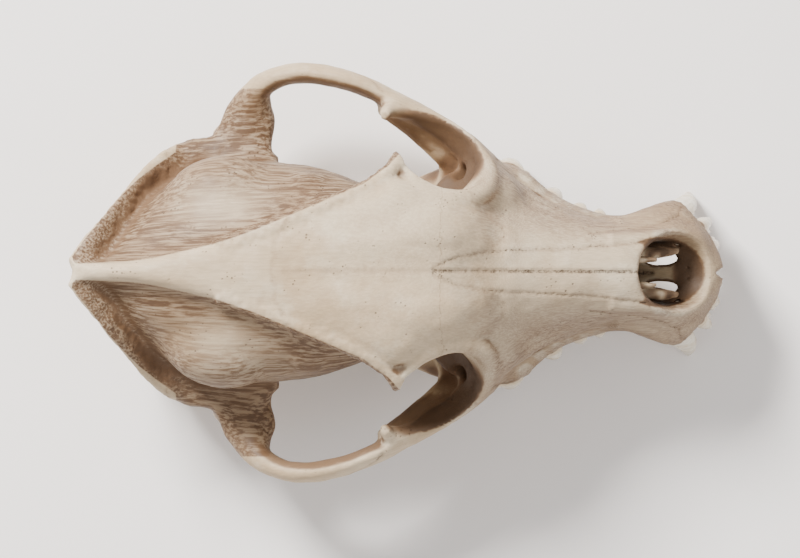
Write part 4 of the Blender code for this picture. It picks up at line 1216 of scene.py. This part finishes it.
def bone_material(colours, with_seams=True):
    """Old dry bone: cream, with brown in its seams, fine fibres and pores, and brown staining and painted
    shade in its hollows. Staining and painted shade darken the braincase's sides, painted shade the
    snout's flanks; a painted highlight lies on the braincase's swell, and pale wear with a painted
    highlight on thin edges.
    """
    n = Nodes("old_bone" if with_seams else "scroll_bone")
    hollow, edge = n.attribute("hollow"), n.attribute("edge")

    # Fibres run along the skull, and close in on each other towards its two ends
    x, y, z = n.add("ShaderNodeSeparateXYZ", None, Vector=n.place).outputs
    behind = n.plus(x, 0.045)
    spread = n.math("MAXIMUM", n.minus(1.0, n.times(n.times(behind, behind), 75.0)), 0.45)
    y, z = (n.times(n.math("DIVIDE", way, spread), 1000.0) for way in (y, z))
    squeezed = n.add("ShaderNodeCombineXYZ", None, X=n.times(x, 70.0), Y=y, Z=z)
    fibres = n.noise(squeezed.outputs[0], 1.0, 4.0, 0.65)

    broad = n.noise(n.place, 22.0, 4.0, 0.55)
    patches = n.noise(n.place, 75.0, 5.0, 0.6)
    grit = n.noise(n.place, 1400.0, 3.0, 0.6)
    cells = n.add("ShaderNodeTexVoronoi", {"feature": "F1"}, Vector=n.place, Scale=620.0, Randomness=1.0)
    few = n.ramp(n.noise(n.place, 120.0, 2.0), 0.52, 0.68)
    pores = n.times(n.ramp(cells.outputs["Distance"], 0.10, 0.26, 1.0, 0.0), few)

    streak = n.ramp(fibres, 0.36, 0.62)
    layers = [
        (n.ramp(broad, 0.35, 0.68), colours.aged_bone),
        (n.ramp(patches, 0.5, 0.78, 0.0, 0.45), colours.pale_bone_and_highlight),
        (n.times(streak, 0.16), colours.stain_and_shade),
        # Pale wear with a painted highlight on thin edges
        (n.times(n.ramp(edge, 0.25, 0.75), 0.55), colours.pale_bone_and_highlight),
    ]
    # Staining and painted shade on the jaw muscle's ground, painted shade on the snout's flanks and in the
    # large hollows
    if with_seams:
        ground = n.ramp(n.plus(n.attribute("temple"), n.uneven(grit, 0.5)), -0.15, 0.35)
        muscle = n.times(ground, n.attribute("shade"))
        muscle = n.times(muscle, n.plus(0.60, n.times(streak, 0.46)))
        wide = n.plus(n.attribute("deep"), n.uneven(patches, 0.25))
        layers += [
            (n.math("MULTIPLY", muscle, 1.0, clamp=True), colours.stain_and_shade),
            (n.ramp(muscle, 0.72, 1.15, 0.0, 0.55), colours.deep_stain_and_shade),
            (n.ramp(wide, 0.22, 0.72, 0.0, 0.92), colours.stain_and_shade),
            (n.ramp(wide, 0.60, 1.0, 0.0, 0.75), colours.deep_stain_and_shade),
        ]
    # Brown staining and painted shade in the small hollows, then dark pores
    deep = n.plus(hollow, n.uneven(patches, 0.35))
    layers += [
        (n.ramp(deep, 0.16, 0.62, 0.0, 0.85), colours.stain_and_shade),
        (n.ramp(deep, 0.60, 0.95, 0.0, 0.8), colours.deep_stain_and_shade),
        (n.times(pores, 0.6), colours.deep_stain_and_shade),
    ]
    height = n.minus(n.plus(n.times(fibres, 0.5), n.times(grit, 0.25)), n.times(pores, 0.9))
    if with_seams:
        seam = n.plus(n.attribute("seam"), n.uneven(n.noise(n.place, 900.0, 3.0, 0.7), 0.9))
        line = n.ramp(seam, 0.12, 0.55, 1.0, 0.0)
        layers += [
            (n.ramp(seam, 0.3, 1.6, 0.25, 0.0), colours.stain_and_shade),
            (n.times(line, 0.9), colours.deep_stain_and_shade),
        ]
        height = n.minus(height, n.times(line, 1.6))
    return n.finish(
        Base_Color=n.painted(colours.bone, layers),
        Roughness=n.ramp(n.plus(patches, n.times(hollow, 0.4)), 0.3, 1.0, 0.48, 0.82),
        Normal=n.bump(height, 0.00022),
        IOR=1.45,
        Specular_IOR_Level=0.35,
    )


def tooth_material(colours):
    """Ivory enamel that is yellow at the neck, over a duller, browner root, with painted shade in its
    hollows and paler enamel with a painted highlight on thin edges.
    """
    n = Nodes("tooth_enamel")
    upright = n.add("ShaderNodeMapping", None, Vector=n.place, Scale=(900, 900, 90)).outputs[0]
    lines = n.noise(upright, 1.0, 3.0, 0.6)
    patches = n.noise(n.place, 160.0, 4.0, 0.6)
    level = n.plus(n.attribute("neck"), n.uneven(patches, 2.4))
    layers = (
        (n.ramp(patches, 0.35, 0.7), colours.aged_enamel),
        (n.ramp(lines, 0.45, 0.75, 0.0, 0.3), colours.root),
        (n.ramp(level, -4.5, -0.4, 0.0, 0.75), colours.root),
        (n.ramp(level, -0.9, 0.4, 0.0, 0.8), colours.stain_and_shade),
        # Painted shade in the tooth's hollows
        (n.ramp(n.attribute("hollow"), 0.22, 0.75, 0.0, 0.8), colours.stain_and_shade),
        # Paler enamel with a painted highlight on thin edges
        (n.times(n.ramp(n.attribute("edge"), 0.45, 0.9), 0.4), colours.enamel),
    )
    return n.finish(
        Base_Color=n.painted(colours.enamel, layers),
        Roughness=n.ramp(level, -2.0, 0.5, 0.24, 0.62),
        Normal=n.bump(n.plus(n.times(lines, 0.6), n.times(patches, 0.4)), 0.00012),
        IOR=1.6,
        Specular_IOR_Level=0.5,
    )


def table_material(colours):
    """A plain pale sheet with the faintest tooth to it."""
    n = Nodes("pale_table")
    tone = [0.97 * v for v in colours.table]
    mottled = n.noise(n.place, 30.0, 4.0, 0.6)
    return n.finish(Base_Color=n.painted(tone, [(mottled, colours.table)]), Roughness=0.9)


# The rolled bones inside the nose on the left side: x, y, z and how large the roll is there
SCROLL_PATHS = {
    "lower": (
        (91, 7.2, 43.5, 0.35), (87, 7.0, 45.0, 0.75), (79, 6.6, 47.0, 1.0), (66, 6.8, 48.5, 1.1),
        (50, 8.0, 50.0, 1.3), (34, 8.6, 51.0, 1.3), (20, 7.5, 52.0, 0.9),
    ),
    "upper": (
        (84, 4.2, 55.0, 0.25), (80, 4.2, 56.0, 0.5), (70, 4.2, 58.0, 0.6), (52, 4.8, 61.0, 0.7),
        (34, 5.2, 63.0, 0.6),
    ),
}
SCROLL_CORNERS, SCROLL_RINGS = 26, 70
SCROLL_THICKNESS, SCROLL_WAVES = 0.0007, 0.0012
SCROLL_JOIN = 0.00001  # points nearer to each other than this become one


def scroll_tree():
    """A sheet of bone rolled up along a path: its turns, width, thickness and waviness are inputs."""
    tree = bpy.data.node_groups.new("rolled_bone", "GeometryNodeTree")
    face = tree.interface
    face.new_socket("Geometry", in_out="INPUT", socket_type="NodeSocketGeometry")
    for name in ("Turns", "Width", "Height", "Thickness", "Waves"):
        face.new_socket(name, in_out="INPUT", socket_type="NodeSocketFloat")
    face.new_socket("Seed", in_out="INPUT", socket_type="NodeSocketInt")
    face.new_socket("Bone", in_out="INPUT", socket_type="NodeSocketMaterial")
    face.new_socket("Geometry", in_out="OUTPUT", socket_type="NodeSocketGeometry")

    def add(kind, settings=None, **inputs):
        return add_node(tree, kind, settings, **inputs)

    def first(kind, settings=None, **inputs):
        return add(kind, settings, **inputs).outputs[0]

    given = add("NodeGroupInput").outputs
    ends = {"Start_Radius": 0.18, "End_Radius": 1.0, "Height": 0.0}
    turns = given["Turns"]
    spiral = first("GeometryNodeCurveSpiral", Resolution=SCROLL_CORNERS, Rotations=turns, **ends)
    shape = first("ShaderNodeCombineXYZ", X=given["Width"], Y=given["Height"], Z=1.0)
    profile = first("GeometryNodeTransform", Geometry=spiral, Scale=shape)
    curve, counted = given["Geometry"], {"mode": "COUNT"}
    path = first("GeometryNodeResampleCurve", counted, Curve=curve, Count=SCROLL_RINGS)
    radius = first("GeometryNodeInputRadius")
    sheet = first("GeometryNodeCurveToMesh", Curve=path, Profile_Curve=profile, Scale=radius)
    seed = first("ShaderNodeCombineXYZ", X=given["Seed"], Y=0.0, Z=0.0)
    position = first("GeometryNodeInputPosition")
    shifted = first("ShaderNodeVectorMath", {"operation": "ADD"}, i0=position, i1=seed)
    waves = add("ShaderNodeTexNoise", Vector=shifted, Scale=210.0, Detail=2.0).outputs["Color"]
    centred = first("ShaderNodeVectorMath", {"operation": "SUBTRACT"}, i0=waves, i1=(0.5, 0.5, 0.5))
    sized = first("ShaderNodeVectorMath", {"operation": "SCALE"}, i0=centred, Scale=given["Waves"])
    waved = first("GeometryNodeSetPosition", Geometry=sheet, Offset=sized)
    by = {"Offset_Scale": given["Thickness"], "Individual": False}
    thick = first("GeometryNodeExtrudeMesh", {"mode": "FACES"}, Mesh=waved, **by)
    under = first("GeometryNodeFlipFaces", Mesh=waved)
    joined = add("GeometryNodeJoinGeometry")
    for part in (thick, under):
        tree.links.new(part, joined.inputs[0])
    closed = first("GeometryNodeMergeByDistance", Geometry=joined.outputs[0], Distance=SCROLL_JOIN)
    smooth = first("GeometryNodeSetShadeSmooth", Geometry=closed)
    real = first("GeometryNodeRealizeInstances", Geometry=smooth)
    painted = first("GeometryNodeSetMaterial", Geometry=real, Material=given["Bone"])
    add("NodeGroupOutput", i0=painted)
    return tree


def make_scroll(name, path, side, sizes, material):
    """One rolled bone on one side of the nose."""
    rows = np.array(path, float)
    rows[:, 1] *= side
    places = settled(rows[:, :3]) * MM
    curve = bpy.data.curves.new(name, "CURVE")
    curve.dimensions = "3D"
    line = curve.splines.new("NURBS")
    line.points.add(len(places) - 1)
    line.use_endpoint_u = True
    line.order_u = 3
    for point, place, size in zip(line.points, places, rows[:, 3]):
        point.co = (*place, 1)
        point.radius = size
    made = bpy.data.objects.new(name + "_path", curve)
    bpy.context.scene.collection.objects.link(made)
    rolled = made.modifiers.new("rolled bone", "NODES")
    rolled.node_group = scroll_tree()
    values = {
        "Turns": sizes.scroll_turns,
        "Width": sizes.scroll_width,
        "Height": sizes.scroll_height,
        "Thickness": SCROLL_THICKNESS,
        "Waves": SCROLL_WAVES,
        "Seed": 3 + side,
        "Bone": material,
    }
    for item in rolled.node_group.interface.items_tree:
        if item.in_out == "INPUT" and item.name in values:
            rolled[item.identifier] = values[item.name]
    mesh = plain_mesh(made)
    mesh.name = name
    points, _ = points_of(mesh)
    # Painted shade over the whole scroll, uneven, as it lies inside the nose
    put_attribute(mesh, "hollow", np.clip(0.55 + 0.25 * ripple(points, 5, 4), 0.2, 0.9))
    return new_object(name, mesh, material)


def add_light(name, place, target, size, power, colour):
    """A soft square light that looks at a point."""
    light = bpy.data.lights.new(name, "AREA")
    light.shape = "SQUARE"
    light.size = size
    light.energy = power
    light.color = colour
    made = bpy.data.objects.new(name, light)
    made.location = place
    made.rotation_euler = (Vector(target) - Vector(place)).to_track_quat("-Z", "Y").to_euler()
    bpy.context.scene.collection.objects.link(made)


def make_stage(settings):
    """The table, the lights and the camera that looks down on the skull."""
    mesh = bpy.data.meshes.new("table")
    mesh.from_pydata([(-3, -3, 0), (3, -3, 0), (3, 3, 0), (-3, 3, 0)], [], [(0, 1, 2, 3)])
    table = new_object("table", mesh, table_material(settings.colours))
    middle = (0, 0, 0.04)
    add_light("window", (-0.62, 0.78, 0.95), middle, 0.4, 52.0, (1.0, 0.98, 0.95))
    add_light("fill", (0.8, -0.6, 0.8), middle, 1.2, 5.0, (0.97, 0.98, 1.0))
    world = bpy.data.worlds.new("pale_room")
    world.use_nodes = True
    world.node_tree.nodes["Background"].inputs["Color"].default_value = (0.95, 0.93, 0.92, 1)
    world.node_tree.nodes["Background"].inputs["Strength"].default_value = 0.78
    bpy.context.scene.world = world
    lens = bpy.data.cameras.new("camera")
    lens.lens = 300
    lens.sensor_width = 36
    lens.clip_end = 20
    camera = bpy.data.objects.new("camera", lens)
    away = lens.lens / lens.sensor_width * PICTURE_WIDTH * PIXEL * MM
    target = Vector((-0.0005, -0.0023, 0.06))
    tilt = math.radians(CAMERA_TILT)
    camera.location = target + away * Vector((0, -math.sin(tilt), math.cos(tilt)))
    camera.rotation_euler = (tilt, 0, 0)
    bpy.context.scene.collection.objects.link(camera)
    bpy.context.scene.camera = camera


def length_property(name, description, default, least, most, precision=5):
    """A length a user can change."""
    return FloatProperty(
        name=name, description=description, default=default, min=least, max=most,
        precision=precision, subtype="DISTANCE", unit="LENGTH",
    )


class SkullSizes(PropertyGroup):
    bone_grain: length_property(
        "Bone grain", "Spacing of the grid that the bone is worked out on", 0.00065, 0.0004, 0.002
    )
    tooth_grain: length_property(
        "Tooth grain", "Spacing of the grid that each tooth is worked out on", 0.0003, 0.0002, 0.001
    )
    bone_triangles: IntProperty(
        name="Bone triangles", description="About how many triangles the cranium keeps",
        default=192000, min=20000, max=199000,
    )
    seam_depth: length_property(
        "Seam depth", "How deep the seams between the bones are cut", 0.0004, 0.0, 0.001
    )
    scroll_turns: FloatProperty(
        name="Scroll turns", description="How many times a scroll bone in the nose rolls round",
        default=1.7, min=0.5, max=3.0,
    )
    scroll_width: length_property("Scroll width", "Half of a scroll bone's width", 0.0032, 0.001, 0.006, 4)
    scroll_height: length_property(
        "Scroll height", "Half of a scroll bone's height", 0.0062, 0.002, 0.012, 4
    )


def colour_property(name, description, default):
    """A colour a user can change."""
    return FloatVectorProperty(
        name=name, description=description, default=default, size=3, min=0, max=1, subtype="COLOR"
    )


class SkullColours(PropertyGroup):
    bone: colour_property("Bone", "Fresh dry bone", (0.56, 0.45, 0.31))
    aged_bone: colour_property("Aged bone", "Bone where it has yellowed", (0.44, 0.32, 0.19))
    # Pale bone is also laid on thin edges as a painted highlight, beside pale wear
    pale_bone_and_highlight: colour_property("Pale bone", "Bone bleached or worn on its ridges", (0.76, 0.67, 0.52))
    # Also the brown of painted shade in hollows, on the jaw muscle's ground and on the snout's flanks
    stain_and_shade: colour_property("Stain", "Brown that gathers in hollows", (0.15, 0.083, 0.043))
    # Also the brown of the darkest painted shade in hollows
    deep_stain_and_shade: colour_property(
        "Deep stain", "Brown in seams, pores and deep hollows", (0.055, 0.029, 0.015)
    )
    enamel: colour_property("Enamel", "The crowns' tips", (0.76, 0.70, 0.58))
    aged_enamel: colour_property("Aged enamel", "The crowns where they have yellowed", (0.66, 0.55, 0.37))
    root: colour_property("Root", "Roots and necks of the teeth", (0.56, 0.40, 0.22))
    table: colour_property("Table", "What the skull lies on", (0.965, 0.925, 0.90))


class SkullSettings(PropertyGroup):
    sizes: PointerProperty(type=SkullSizes)
    colours: PointerProperty(type=SkullColours)


def shared_material(name, make):
    """The material of that name, made once."""
    return bpy.data.materials.get(name) or make()


def seat(piece, slot, *nodes):
    """Makes a finished piece ride on the skull, in place of its plain forms."""
    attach(piece, "root")
    if nodes:
        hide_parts(*nodes)


class SkullOperator:
    """What the skull's operators share."""

    bl_options = {"REGISTER", "UNDO"}

    def execute(self, context):
        self.build(context.scene.dog_skull)
        return {"FINISHED"}


class SKULL_OT_cranium(SkullOperator, Operator):
    """Builds the fused bones of the cranium"""

    bl_idname = "dog_skull.cranium"
    bl_label = "Cranium"

    def build(self, settings):
        seat(make_cranium(settings.sizes, bone_material(settings.colours)), "bone", "cranium")


class SKULL_OT_scroll_bones(SkullOperator, Operator):
    """Builds the four rolled bones inside the nose"""

    bl_idname = "dog_skull.scroll_bones"
    bl_label = "Scroll bones"

    def build(self, settings):
        material = bone_material(settings.colours, with_seams=False)
        for level, path in SCROLL_PATHS.items():
            for side, word in ((1, "left"), (-1, "right")):
                name = f"scroll_bone_{level}_{word}"
                seat(make_scroll(name, path, side, settings.sizes, material), "bone")


class ToothOperator(SkullOperator):
    """What the operators for teeth share."""

    def build(self, settings):
        material = shared_material("tooth_enamel", lambda: tooth_material(settings.colours))
        for name in self.teeth:
            for side, word in ((1, "left"), (-1, "right")):
                seat(make_tooth(name, side, settings.sizes, material), "enamel", f"{name}_{word}")


class SKULL_OT_incisors(ToothOperator, Operator):
    """Builds the six upper incisors"""

    bl_idname = "dog_skull.incisors"
    bl_label = "Incisors"
    teeth = ("incisor_1", "incisor_2", "incisor_3")


class SKULL_OT_canines(ToothOperator, Operator):
    """Builds the two upper canines"""

    bl_idname = "dog_skull.canines"
    bl_label = "Canines"
    teeth = ("canine",)


class SKULL_OT_premolars(ToothOperator, Operator):
    """Builds the eight upper premolars"""

    bl_idname = "dog_skull.premolars"
    bl_label = "Premolars"
    teeth = ("premolar_1", "premolar_2", "premolar_3", "premolar_4")


class SKULL_OT_molars(ToothOperator, Operator):
    """Builds the four upper molars"""

    bl_idname = "dog_skull.molars"
    bl_label = "Molars"
    teeth = ("molar_1", "molar_2")


class SKULL_OT_stage(SkullOperator, Operator):
    """Sets out the table, the lights and the camera"""

    bl_idname = "dog_skull.stage"
    bl_label = "Stage"

    def build(self, settings):
        make_stage(settings)


STEPS = (
    SKULL_OT_cranium,
    SKULL_OT_scroll_bones,
    SKULL_OT_incisors,
    SKULL_OT_canines,
    SKULL_OT_premolars,
    SKULL_OT_molars,
    SKULL_OT_stage,
)


class SKULL_PT_panel(Panel):
    """Lists the skull's sizes, its colours and the steps that build it"""

    bl_idname = "SKULL_PT_panel"
    bl_label = "Dog Skull"
    bl_space_type = "VIEW_3D"
    bl_region_type = "UI"
    bl_category = "Dog Skull"

    def draw(self, context):
        settings = context.scene.dog_skull
        for group in (settings.sizes, settings.colours):
            box = self.layout.box()
            for name in group.__annotations__:
                box.prop(group, name)
        for step in STEPS:
            self.layout.operator(step.bl_idname)


CLASSES = (SkullSizes, SkullColours, SkullSettings, *STEPS, SKULL_PT_panel)


def register():
    for kind in CLASSES:
        bpy.utils.register_class(kind)
    bpy.types.Scene.dog_skull = PointerProperty(type=SkullSettings)


def unregister():
    del bpy.types.Scene.dog_skull
    for kind in reversed(CLASSES):
        bpy.utils.unregister_class(kind)


def main():
    register()
    for step in STEPS:
        category, name = step.bl_idname.split(".")
        getattr(getattr(bpy.ops, category), name)()


if __name__ == "__main__":
    main()
